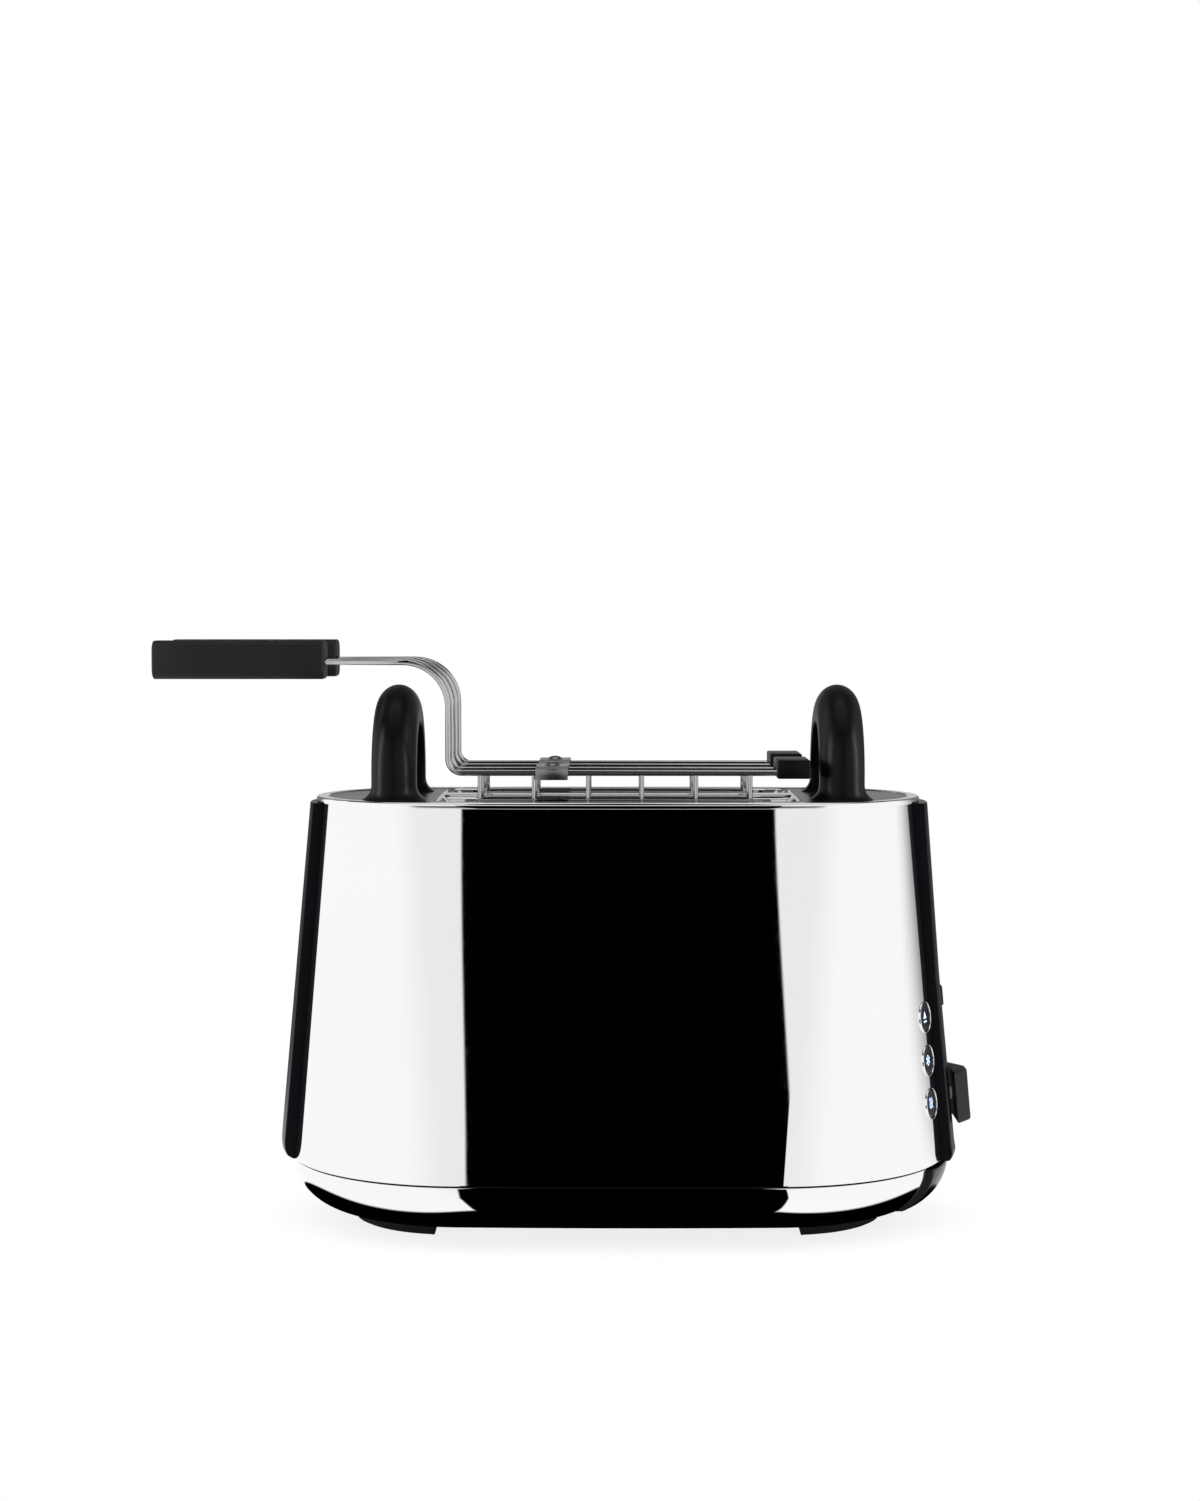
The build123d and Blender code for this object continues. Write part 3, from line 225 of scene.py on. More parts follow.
def coordinates(tree: bpy.types.NodeTree, kind: str) -> tuple[Reading, Reading, Reading]:
    """The three coordinates of the place that is shaded.

    Args:
        tree: the nodes that read them.
        kind: the Texture Coordinate output that they come from.

    Returns:
        X, Y and Z.
    """
    place = add_node(tree, "TexCoord").outputs[kind]
    parts = add_node(tree, "SeparateXYZ", {"Vector": place})
    return tuple(Reading(tree, parts.outputs[axis]) for axis in "XYZ")


@dataclass(frozen=True)
class Finish:
    """A surface finish made of nodes that read Object coordinates.

    Args:
        name: the material's name.
        slot: the record's material slot that it belongs to; not used.
        colour: linear base colour.
        roughness: middle of the roughness.
        metallic: 1 for bare metal.
        specular: specular level of a non-metal.
        grain: the way in which the fine pattern runs.
        grain_size: size of the fine pattern in mm.
        bump: depth of the fine pattern in mm.
        rough_spread: how far the roughness varies with the pattern.
        tone_spread: how far the colour varies over larger patches.
        patch: size of those patches in mm.
        glow: strength of its own light, for a lit symbol.
    """

    name: str
    slot: str
    colour: Point
    roughness: float
    metallic: float = 0.0
    specular: float = 0.5
    grain: Grain = Grain.EVEN
    grain_size: float = 0.4
    bump: float = 0.0
    rough_spread: float = 0.05
    tone_spread: float = 0.08
    patch: float = 30.0
    glow: float = 0.0

    def noise(self, tree: bpy.types.NodeTree, size: float, grain: Grain, detail: float) -> Reading:
        """A noise over Object coordinates.

        Args:
            tree: the material's nodes.
            size: size of the pattern in mm.
            grain: how the pattern is stretched.
            detail: octaves of the noise.

        Returns:
            The noise, from 0 to 1.
        """
        place = add_node(tree, "TexCoord").outputs["Object"]
        mapping = add_node(tree, "Mapping", {"Vector": place, "Scale": Vector(grain.value) / (size * MM)})
        noise = add_node(tree, "TexNoise", {"Vector": mapping.outputs["Vector"], "Scale": 1.0,
                                            "Detail": detail})
        return Reading(tree, noise.outputs["Fac"])

    def material(self) -> bpy.types.Material:
        """The finish's material, made once.

        Returns:
            The material of this name.
        """
        known = bpy.data.materials.get(self.name)
        if known:
            return known
        material = bpy.data.materials.new(self.name)
        material.use_nodes = True
        tree = material.node_tree
        patches = self.noise(tree, self.patch, Grain.EVEN, 3.0)
        fine = self.noise(tree, self.grain_size, self.grain, 4.0)
        tones = add_node(tree, "ValToRGB", {"Fac": patches})
        for tone, place, change in zip(tones.color_ramp.elements, (0.3, 0.7), (-1, 1)):
            share = 1.0 + change * self.tone_spread
            tone.position = place
            tone.color = (*[min(part * share, 1.0) for part in self.colour], 1.0)
        spread = add_node(tree, "MapRange", {"Value": fine, "From Min": 0.25, "From Max": 0.75,
                                             "To Min": max(self.roughness - self.rough_spread, 0.0),
                                             "To Max": self.roughness + self.rough_spread})
        inputs = {"Metallic": self.metallic, "Specular IOR Level": self.specular,
                  "Base Color": tones.outputs["Color"], "Roughness": spread.outputs["Result"]}
        if self.bump:
            relief = add_node(tree, "Bump", {"Strength": 1.0, "Distance": self.bump * MM, "Height": fine})
            inputs["Normal"] = relief.outputs["Normal"]
        if self.glow:
            inputs |= {"Emission Color": (*self.colour, 1.0), "Emission Strength": self.glow}
        feed(tree, tree.nodes["Principled BSDF"], inputs)
        return material


MIRROR_STEEL = Finish("mirror_steel_polished", "mirror_steel", (0.93, 0.93, 0.935), 0.012, metallic=1.0,
                      rough_spread=0.006, tone_spread=0.01, patch=60, grain_size=3.0)
SATIN_STEEL = Finish("satin_steel_brushed", "satin_steel", (0.15, 0.15, 0.154), 0.26, metallic=1.0,
                     grain=Grain.BRUSHED_LENGTHWAYS, grain_size=0.5, bump=0.0012, rough_spread=0.06)
TROUGH_STEEL = Finish("trough_steel_polished", "trough_steel", (0.72, 0.72, 0.72), 0.03, metallic=1.0,
                      rough_spread=0.02, tone_spread=0.04, grain_size=1.5)
WIRE_STEEL = Finish("wire_steel_bright", "wire_steel", (0.50, 0.50, 0.505), 0.04, metallic=1.0,
                    grain_size=1.2, rough_spread=0.02, tone_spread=0.05, patch=12)
CLIP_STEEL = Finish("clip_steel_satin", "wire_steel", (0.24, 0.24, 0.245), 0.24, metallic=1.0,
                    grain_size=0.7, bump=0.0008, patch=8)
BLACK_PLASTIC = Finish("black_moulded_plastic", "black_plastic", (0.0015, 0.0015, 0.0016), 0.33,
                       specular=0.11, grain_size=0.35, bump=0.003, tone_spread=0.12)
HANDLE_PLASTIC = Finish("handle_moulded_plastic", "black_plastic", (0.0060, 0.0060, 0.0062), 0.50,
                        specular=0.18, grain_size=0.45, bump=0.01, rough_spread=0.06, tone_spread=0.1)
BASE_PLASTIC = Finish("base_moulded_plastic", "black_plastic", (0.0012, 0.0012, 0.0013), 0.22,
                      specular=0.16, grain_size=0.5, bump=0.002, tone_spread=0.1)
PANEL_PLASTIC = Finish("panel_gloss_plastic", "panel_plastic", (0.0008, 0.0011, 0.0020), 0.26,
                       specular=0.06, grain_size=2.0, bump=0.001, rough_spread=0.03, tone_spread=0.1)
KNOB_PLASTIC = Finish("knob_satin_plastic", "black_plastic", (0.0036, 0.0036, 0.0038), 0.42,
                      specular=0.12, grain_size=0.3, bump=0.005, tone_spread=0.1)
BUTTON_FACE = Finish("button_dark_gloss", "button_face", (0.009, 0.009, 0.010), 0.20, specular=0.2,
                     grain_size=1.0, rough_spread=0.03, tone_spread=0.06)
LIT_SYMBOL = Finish("button_lit_symbol", "button_face", (0.50, 0.62, 1.0), 0.4, tone_spread=0.03, glow=0.9)
RUBBER = Finish("foot_rubber", "rubber_feet", (0.010, 0.010, 0.010), 0.62, specular=0.3,
                grain_size=0.6, bump=0.02, rough_spread=0.08, tone_spread=0.15)
ALUMINISED = Finish("aluminised_sheet", "aluminised_sheet", (0.55, 0.55, 0.54), 0.34, metallic=1.0,
                    grain_size=2.5, bump=0.002, rough_spread=0.10, tone_spread=0.12, patch=8)
MICA = Finish("mica_board", "mica_board", (0.40, 0.34, 0.25), 0.45,
              grain_size=1.6, bump=0.02, rough_spread=0.15, tone_spread=0.22, patch=5)
RIBBON = Finish("heating_ribbon", "ribbon_wire", (0.33, 0.29, 0.26), 0.36, metallic=1.0,
                grain=Grain.BRUSHED_LENGTHWAYS, rough_spread=0.08, tone_spread=0.2, patch=10)
CIRCUIT = Finish("circuit_board", "circuit_board", (0.03, 0.12, 0.05), 0.35,
                 grain_size=1.2, bump=0.01, rough_spread=0.08, tone_spread=0.25, patch=4)
COIL = Finish("magnet_coil_tape", "magnet_coil", (0.33, 0.13, 0.04), 0.35, grain=Grain.DRAWN_DOWN,
              grain_size=0.5, bump=0.02, rough_spread=0.08, tone_spread=0.2, patch=6)
TERMINAL = Finish("terminal_plastic", "terminal_plastic", (0.62, 0.60, 0.55), 0.42,
                  grain_size=0.8, bump=0.01, tone_spread=0.06)
ZINC = Finish("zinc_plated", "zinc_screw", (0.62, 0.62, 0.58), 0.28, metallic=1.0,
              grain_size=0.7, bump=0.003, rough_spread=0.08, tone_spread=0.12, patch=4)
SEAM_BLACK = Finish("seam_black", "black_plastic", (0.002, 0.002, 0.002), 0.5, specular=0.2,
                    grain_size=0.5, bump=0.002, tone_spread=0.1)


def edges_round(bm: bmesh.types.BMesh, ring: Sequence[BMVert]) -> list[BMEdge]:
    """The edges between neighbours of a closed ring of vertices."""
    return [bm.edges.get((ring[place - 1], ring[place])) for place in range(len(ring))]


def verts_among(parts: Sequence[object]) -> list[BMVert]:
    """The vertices among the parts that an operator made."""
    return [part for part in parts if isinstance(part, BMVert)]


def in_scene(name: str, data: bpy.types.ID) -> bpy.types.Object:
    """Put a mesh, a lamp or a camera into the scene.

    Args:
        name: the object's name.
        data: what it shows.

    Returns:
        The object, at the origin.
    """
    item = bpy.data.objects.new(name, data)
    bpy.context.scene.collection.objects.link(item)
    return item


def along_x(spot: Point) -> Matrix:
    """A place at a point, its Z axis turned to +X."""
    return Matrix.Translation(spot) @ Matrix.Rotation(radians(90), 4, "Y")


def by_quarters(share: float, place: Callable[[float], Pair]) -> Pair:
    """A point of a plan that is the same in all four quarters.

    Args:
        share: share of the way round, from +X toward +Y.
        place: gives X and Y for a share of the first quarter.

    Returns:
        X and Y.
    """
    turn = share % 1.0 * 4
    quarter, part = int(turn), turn - int(turn)
    x, y = place(1 - part if quarter % 2 else part)
    return (x if quarter in (0, 3) else -x), (y if quarter in (0, 1) else -y)


def rounded_rectangle(half_x: float, half_y: float, corner: float, z: float, middle_y: float = 0.0,
                      middle_x: float = 0.0) -> Plan:
    """A rounded rectangle in plan, as a ring that starts at +X.

    Args:
        half_x: half length.
        half_y: half width.
        corner: corner radius.
        z: height.
        middle_y: where its middle lies along Y.
        middle_x: where its middle lies along X.

    Returns:
        The plan; each quarter gives half its points to the corner.
    """
    end, bend, side = 0.2, 0.5, 0.3

    def quarter(part: float) -> Pair:
        """Find a place on half the end, the corner or half the side.

        Args:
            part: the share of the first quarter.

        Returns:
            X and Y.
        """
        if part < end:
            return half_x, (half_y - corner) * part / end
        if part < end + bend:
            angle = (part - end) / bend * pi / 2
            return half_x - corner + corner * cos(angle), half_y - corner + corner * sin(angle)
        return (half_x - corner) * (1 - part) / side, half_y

    def place(share: float) -> Vector:
        """The point for a share of the way round."""
        x, y = by_quarters(share, quarter)
        return Vector((middle_x + x, middle_y + y, z))
    return place


class Workpiece:
    """A mesh on the bench, in millimetres, shaped by mesh operators."""

    def __init__(self) -> None:
        """Start with nothing on the bench."""
        self.bm = bmesh.new()

    def ring(self, plan: Plan, count: int) -> list[BMVert]:
        """Lay a closed ring of vertices along a plan.

        Args:
            plan: gives the place for a share of the way round.
            count: how many vertices the ring has.

        Returns:
            The ring's vertices in order.
        """
        ring = bmesh.ops.create_circle(self.bm, cap_ends=False, radius=1.0, segments=count)["verts"]
        for place, vert in enumerate(ring):
            vert.co = plan(place / count)
        return ring

    def carry(self, ring: Sequence[BMVert], plan: Plan) -> list[BMVert]:
        """Extrude a ring and lay its new end along a plan.

        Args:
            ring: the ring that is extruded.
            plan: gives the places of the new ring.

        Returns:
            The new ring's vertices in order.
        """
        made = bmesh.ops.extrude_edge_only(self.bm, edges=edges_round(self.bm, ring))["geom"]
        fresh = set(verts_among(made))
        upper = [next(edge.other_vert(vert) for edge in vert.link_edges if edge.other_vert(vert) in fresh)
                 for vert in ring]
        for place, vert in enumerate(upper):
            vert.co = plan(place / len(upper))
        return upper

    def close(self, ring: Sequence[BMVert]) -> None:
        """Close a ring with a face."""
        bmesh.ops.edgeloop_fill(self.bm, edges=edges_round(self.bm, ring))

    def stack(self, plans: Sequence[Plan], count: int, joined: bool = False) -> None:
        """Raise a skin through rings laid along plans.

        Args:
            plans: one plan for each ring.
            count: vertices in each ring.
            joined: the last ring is joined to the first, for a hollow wall; otherwise a face closes
                each end.
        """
        first = ring = self.ring(plans[0], count)
        for plan in plans[1:]:
            ring = self.carry(ring, plan)
        if joined:
            bmesh.ops.bridge_loops(self.bm, edges=edges_round(self.bm, first) + edges_round(self.bm, ring))
        else:
            self.close(first)
            self.close(ring)

    def block(self, low: Point, high: Point, round_by: float = 0.0, segments: int = 3) -> list[BMVert]:
        """Set a block between two corners, its edges rounded.

        Args:
            low: the lowest corner.
            high: the highest corner.
            round_by: radius of the edges.
            segments: facets of each rounded edge.

        Returns:
            The vertices of a sharp block, and none of a rounded one.
        """
        spot = Matrix.LocRotScale((Vector(low) + Vector(high)) / 2, None, Vector(high) - Vector(low))
        verts = bmesh.ops.create_cube(self.bm, size=1.0, matrix=spot)["verts"]
        if not round_by:
            return verts
        edges = list({edge for vert in verts for edge in vert.link_edges})
        bmesh.ops.bevel(self.bm, geom=edges, offset=round_by, offset_type="OFFSET", segments=segments,
                        profile=0.5, affect="EDGES", material=-1)
        return []

    def spun(self, profile: Sequence[Pair], spot: Matrix, steps: int = 48) -> None:
        """Turn a profile of (radius, height) about the spot's Z axis.

        Args:
            profile: points from the axis out and back to it.
            spot: where the turned piece stands.
            steps: facets round the turn.
        """
        verts = [self.bm.verts.new(spot @ Vector((radius, 0.0, height))) for radius, height in profile]
        edges = [self.bm.edges.new(pair) for pair in zip(verts, verts[1:])]
        axis = spot.to_3x3() @ Vector((0.0, 0.0, 1.0))
        bmesh.ops.spin(self.bm, geom=verts + edges, cent=spot.translation, axis=axis, dvec=(0, 0, 0),
                       angle=2 * pi, steps=steps, use_merge=True, use_duplicate=False)
        bmesh.ops.remove_doubles(self.bm, verts=self.bm.verts, dist=0.0005)

    def rod(self, radius: float, low: float, high: float, spot: Matrix, steps: int = 32) -> None:
        """Turn a plain cylinder between two heights along the spot's Z axis."""
        self.spun([(0.0, low), (radius, low), (radius, high), (0.0, high)], spot, steps)

    def wire(self, points: Sequence[Point], bends: Sequence[float], radius: float, sides: int = 14,
             turn_step: float = 7.5) -> None:
        """Run a round wire along straight runs joined by bends.

        Args:
            points: the corners of the route, with its two ends.
            bends: the bend radius at each corner.
            radius: the wire's radius.
            sides: facets round the wire.
            turn_step: degrees of bend to each ring.
        """
        route = [Vector(point) for point in points]
        heading = (route[1] - route[0]).normalized()
        spot = Matrix.Translation(route[0]) @ heading.to_track_quat("Z", "Y").to_matrix().to_4x4()
        ring = bmesh.ops.create_circle(self.bm, cap_ends=False, radius=radius, segments=sides,
                                       matrix=spot)["verts"]
        first = loop = edges_round(self.bm, ring)
        here = route[0]
        for corner, after, bend in zip(route[1:], route[2:] + [None], list(bends) + [0.0]):
            if after is None:
                target, turn = corner, 0.0
            else:
                leaving = (after - corner).normalized()
                turn = acos(max(-1.0, min(1.0, heading.dot(leaving))))
                target = corner - heading * bend * sin(turn / 2) / cos(turn / 2)
            made = bmesh.ops.extrude_edge_only(self.bm, edges=loop)["geom"]
            bmesh.ops.translate(self.bm, vec=target - here, verts=verts_among(made))
            loop = [part for part in made if isinstance(part, BMEdge)
                    and all(vert in made for vert in part.verts)]
            here = target
            if after is not None:
                axis = heading.cross(leaving).normalized()
                centre = here + axis.cross(heading) * bend
                verts = list({vert for edge in loop for vert in edge.verts})
                steps = max(2, round(degrees(turn) / turn_step))
                made = bmesh.ops.spin(self.bm, geom=verts + loop, cent=centre, axis=axis, dvec=(0, 0, 0),
                                      angle=turn, steps=steps, use_merge=False,
                                      use_duplicate=False)["geom_last"]
                loop = [part for part in made if isinstance(part, BMEdge)]
                here = corner + leaving * bend * sin(turn / 2) / cos(turn / 2)
                heading = leaving
        bmesh.ops.edgeloop_fill(self.bm, edges=first)
        bmesh.ops.edgeloop_fill(self.bm, edges=loop)

    def sheet(self, surface: Callable[[float, float], Vector], across: int, up: int) -> None:
        """Lay a grid over a surface given by two shares.

        Args:
            surface: gives the place for a share across and a share up.
            across: cells across.
            up: cells up.
        """
        grid = bmesh.ops.create_grid(self.bm, x_segments=across, y_segments=up, size=0.5)["verts"]
        for vert in grid:
            vert.co = surface(vert.co.x + 0.5, vert.co.y + 0.5)

    def thicken(self, inner: Callable[[Vector], Vector]) -> None:
        """Give a sheet a second face and a rim.

        Args:
            inner: gives the place behind a point of the sheet.
        """
        made = bmesh.ops.extrude_face_region(self.bm, geom=self.bm.faces[:])["geom"]
        for vert in verts_among(made):
            vert.co = inner(vert.co)
        bmesh.ops.recalc_face_normals(self.bm, faces=self.bm.faces)

    def soften(self, edges: Sequence[BMEdge], by: float, segments: int = 3) -> None:
        """Round the given edges."""
        bmesh.ops.bevel(self.bm, geom=list(edges), offset=by, offset_type="OFFSET", segments=segments,
                        profile=0.5, affect="EDGES", material=-1, clamp_overlap=True)

    def sharp_edges(self, over: float = 40.0) -> list[BMEdge]:
        """Find the edges whose faces meet at a wide angle.

        Args:
            over: the least angle in degrees.

        Returns:
            The edges.
        """
        self.bm.normal_update()
        return [edge for edge in self.bm.edges if len(edge.link_faces) == 2
                and edge.calc_face_angle(0.0) > radians(over)]

    def edges_along_x(self, above: float) -> list[BMEdge]:
        """The edges above a height that run along X."""
        return [edge for edge in self.bm.edges if all(vert.co.z > above for vert in edge.verts)
                and abs(edge.verts[0].co.x - edge.verts[1].co.x) > 1]

    def move(self, place: Matrix) -> None:
        """Move everything on the bench to a place."""
        bmesh.ops.transform(self.bm, matrix=place, verts=self.bm.verts)

    def mirrored(self, axis: str) -> None:
        """Add the mirror image across the plane through the origin.

        Args:
            axis: the axis that is square to the plane, X or Y.
        """
        flip = Matrix.Diagonal((-1 if axis == "X" else 1, -1 if axis == "Y" else 1, 1, 1))
        geom = self.bm.verts[:] + self.bm.edges[:] + self.bm.faces[:]
        made = bmesh.ops.duplicate(self.bm, geom=geom)["geom"]
        bmesh.ops.transform(self.bm, matrix=flip, verts=verts_among(made))
        bmesh.ops.reverse_faces(self.bm, faces=[part for part in made if isinstance(part, BMFace)])

    def as_object(self, name: str) -> bpy.types.Object:
        """Take the mesh off the bench, into the scene and into metres.

        Args:
            name: the object's name.

        Returns:
            The object.
        """
        bmesh.ops.recalc_face_normals(self.bm, faces=self.bm.faces)
        bmesh.ops.scale(self.bm, vec=(MM, MM, MM), verts=self.bm.verts)
        mesh = bpy.data.meshes.new(name)
        self.bm.to_mesh(mesh)
        self.bm.free()
        return in_scene(name, mesh)

    def cut(self, *tools: "Workpiece") -> None:
        """Cut the solids of other workpieces out of this one.

        Args:
            tools: closed solids to take away; they are used up.
        """
        stock = self.as_object("stock")
        cutters = [tool.as_object("cutter") for tool in tools]
        for cutter in cutters:
            step = stock.modifiers.new("cut", "BOOLEAN")
            step.operation = "DIFFERENCE"
            step.solver = "EXACT"
            step.object = cutter
        bpy.context.view_layer.update()
        result = stock.evaluated_get(bpy.context.evaluated_depsgraph_get()).to_mesh()
        self.bm = bmesh.new()
        self.bm.from_mesh(result)
        bmesh.ops.scale(self.bm, vec=(1 / MM, 1 / MM, 1 / MM), verts=self.bm.verts)
        for spare in [stock, *cutters]:
            mesh = spare.data
            bpy.data.objects.remove(spare)
            bpy.data.meshes.remove(mesh)

    def publish(self, name: str, body: str, finish: Finish, replaces: Sequence[str] = (),
                outward: Outward | None = None) -> None:
        """Finish the piece: shade it, dress it and let it ride on its body.

        Args:
            name: the piece's name.
            body: the body that it moves with.
            finish: its surface finish.
            replaces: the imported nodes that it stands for.
            outward: the form's exact distance and normal, where reflections have to run true.
        """
        crease = 32.0
        item = self.as_object(name)
        item.data.shade_smooth()
        item.data.set_sharp_from_angle(angle=radians(crease))
        if outward:
            self.shade_true(item.data, outward)
        item.data.materials.append(finish.material())
        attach(item, body)
        if replaces:
            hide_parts(*replaces)
        log.info("%s: %d faces on %s", name, len(item.data.polygons), body)

    def shade_true(self, mesh: bpy.types.Mesh, outward: Outward) -> None:
        """Give the corners that lie on a form's surface its exact normals.

        Args:
            mesh: the finished mesh, in metres.
            outward: gives a point's distance from the form and the normal there.
        """
        on_surface, facing_out = 0.03, 0.94
        exact = [outward(vert.co / MM) for vert in mesh.vertices]
        normals = [Vector((0.0, 0.0, 0.0))] * len(mesh.loops)
        for face in mesh.polygons:
            for corner in face.loop_indices:
                away, normal = exact[mesh.loops[corner].vertex_index]
                if abs(away) < on_surface and face.normal.dot(normal) > facing_out:
                    normals[corner] = normal
        mesh.normals_split_custom_set(normals)


@dataclass
class Body:
    """The tapered steel body: shell, skirt, base and ring, and the plan that they all share."""

    bow: float = 1900.0
    tip_low: float = 147.0
    tip_top: float = 133.0
    depth_low: float = 81.2
    depth_top: float = 52.0
    low_z: float = 29.4
    top_z: float = 186.5
    sheet: float = 1.0
    roll: float = 0.4
    shell_rows: int = 26
    bowl_tip: float = 145.5
    bowl_depth: float = 79.7
    bowl_run: float = 22.0
    bowl_top_z: float = 28.5
    base_z: float = 7.0
    base_wall: float = 2.0
    base_draft: float = 0.2
    base_floor_z: float = 9.0
    skirt_low_z: float = 11.5
    seam_low_z: float = 26.4
    seam_top_z: float = 32.4
    vent_y: float = 51.5
    vent_pitch: float = 16.0
    vent_half_x: float = 5.0
    vent_half_y: float = 1.5
    ring_tip: float = 134.6
    ring_depth: float = 52.8
    ring_width: float = 5.2
    ring_high: float = 2.6
    ledge_width: float = 8.0
    ledge_high: float = 1.0
    round_count: int = 256
    end_share: float = 0.62

    def round_end(self, tip: float, depth: float) -> Pair:
        """Where the round end of a plan has its centre along X, and its radius."""
        centre = ((self.bow - depth) ** 2 - (self.bow - tip) ** 2) / (2 * (self.bow - tip))
        return centre, tip - centre

    def plan_point(self, tip: float, depth: float, share: float) -> Pair:
        """A point on the body's plan: two bowed sides run smoothly into two round ends.

        Args:
            tip: half length.
            depth: half depth.
            share: share of the way round, from +X toward +Y.

        Returns:
            X and Y.
        """
        centre, radius = self.round_end(tip, depth)
        half = asin(centre / (self.bow - radius))

        def quarter(part: float) -> Pair:
            """Find a place on half the end or half the side.

            Args:
                part: the share of the first quarter.

            Returns:
                X and Y.
            """
            if part < self.end_share:
                angle = (pi / 2 - half) * part / self.end_share
                return centre + radius * cos(angle), radius * sin(angle)
            angle = half * (1 - part) / (1 - self.end_share)
            return self.bow * sin(angle), depth - self.bow + self.bow * cos(angle)
        return by_quarters(share, quarter)

    def end_x(self, tip: float, depth: float, y: float) -> float:
        """How far the round end reaches along X at a given Y."""
        centre, radius = self.round_end(tip, depth)
        return centre + sqrt(max(radius ** 2 - y * y, 0.0))

    def plan(self, tip: float, depth: float, z: float) -> Plan:
        """The plan of the body at a height, as a ring."""
        return lambda share: Vector((*self.plan_point(tip, depth, share), z))

    def shell_sizes(self, z: float) -> Pair:
        """Find how long and deep the shell is at a height.

        Args:
            z: the height.

        Returns:
            Its half length and half depth.
        """
        rise, height = z - self.low_z, self.top_z - self.low_z
        return (self.tip_low + (self.tip_top - self.tip_low) * rise / height,
                self.depth_low + (self.depth_top - self.depth_low) * rise / height)

    def shell_plan(self, z: float, grow: float = 0.0) -> Plan:
        """The shell's plan at a height, grown by an amount."""
        tip, depth = self.shell_sizes(z)
        return self.plan(tip + grow, depth + grow, z)

    def bowl_at(self, turn: float, grow: float = 0.0) -> Point:
        """The bowl's half length, half depth and height at an angle of its quarter round.

        Args:
            turn: the angle, nought at the seam.
            grow: how much larger the plan is than the bowl's.

        Returns:
            Half length, half depth and height.
        """
        inset = self.bowl_run * (1 - cos(turn)) - grow
        height = self.bowl_top_z - self.base_z
        return self.bowl_tip - inset, self.bowl_depth - inset, self.bowl_top_z - height * sin(turn)

    def bowl_turn(self, z: float) -> float:
        """The angle of the bowl's quarter round at a height."""
        return asin((self.bowl_top_z - z) / (self.bowl_top_z - self.base_z))

    def bowl_sizes(self, z: float) -> Pair:
        """The bowl's half length and half depth at a height, also a little above or below it.

        Args:
            z: the height.

        Returns:
            Half length and half depth.
        """
        drop = min((self.bowl_top_z - z) / (self.bowl_top_z - self.base_z), 1.0)
        inset = self.bowl_run * (1 - sqrt(1 - drop * drop))
        return self.bowl_tip - inset, self.bowl_depth - inset

    def beyond(self, tip: float, depth: float, x: float, y: float) -> float:
        """How far a point lies outside a plan.

        Args:
            tip: the plan's half length.
            depth: its half depth.
            x: the point's X.
            y: its Y.

        Returns:
            The distance, below nought inside.
        """
        x, y = abs(x), abs(y)
        centre, radius = self.round_end(tip, depth)
        if atan2(x, y - depth + self.bow) < asin(centre / (self.bow - radius)):
            return sqrt(x * x + (y - depth + self.bow) ** 2) - self.bow
        return sqrt((x - centre) ** 2 + y * y) - radius

    def true_form(self, sizes: Callable[[float], Pair]) -> Outward:
        """The exact distance and normal of a form whose plan changes with height.

        Args:
            sizes: gives the half length and half depth at a height.

        Returns:
            A function of a point in millimetres.
        """
        step = 0.02

        def away(x: float, y: float, z: float) -> float:
            """How far a point lies outside the form's plan at its height."""
            return self.beyond(*sizes(z), x, y)

        def outward(point: Vector) -> tuple[float, Vector]:
            """Find where a point lies beside the form.

            Args:
                point: the point.

            Returns:
                Its distance from the form, and the normal there.
            """
            x, y, z = point
            slopes = (away(x + step, y, z) - away(x - step, y, z),
                      away(x, y + step, z) - away(x, y - step, z),
                      away(x, y, z + step) - away(x, y, z - step))
            return away(x, y, z), Vector(slopes).normalized()
        return outward

    def make_shell(self, cutters: Sequence[Workpiece]) -> None:
        """Build the mirror shell with a rolled lower edge.

        Args:
            cutters: the solids of its slots and button holes.
        """
        piece = Workpiece()
        rolled, rows = self.low_z + self.roll, self.shell_rows
        plans = [self.shell_plan(self.low_z, -0.45), self.shell_plan(self.low_z + 0.12, -0.15)]
        plans += [self.shell_plan(rolled + (self.top_z - rolled) * row / rows) for row in range(rows + 1)]
        plans += [self.shell_plan(z, -self.sheet) for z in (self.top_z, 110.0, self.low_z)]
        piece.stack(plans, self.round_count, joined=True)
        piece.cut(*cutters)
        piece.publish("steel_shell", "root", MIRROR_STEEL, replaces=["shell"],
                      outward=self.true_form(self.shell_sizes))

    def make_skirt(self, cutters: Sequence[Workpiece]) -> None:
        """Build the bright bowl under the seam, with a rolled upper edge.

        Args:
            cutters: the solids of the tray's mouth and the cord's hole.
        """
        piece = Workpiece()
        last, outer, inner = self.bowl_turn(self.skirt_low_z), 14, 6
        tip, depth, z = self.bowl_at(0.0)
        levels = [(tip - inset, depth - inset, z - drop)
                  for inset, drop in ((self.sheet, 0.0), (0.45, 0.0), (0.12, 0.12), (0.0, self.roll))]
        levels += [self.bowl_at(last * step / outer) for step in range(1, outer + 1)]
        levels += [self.bowl_at(last * step / inner, -self.sheet) for step in range(inner, 0, -1)]
        piece.stack([self.plan(*level) for level in levels], self.round_count, joined=True)
        piece.cut(*cutters)
        piece.publish("steel_skirt", "root", MIRROR_STEEL, replaces=["skirt"],
                      outward=self.true_form(self.bowl_sizes))

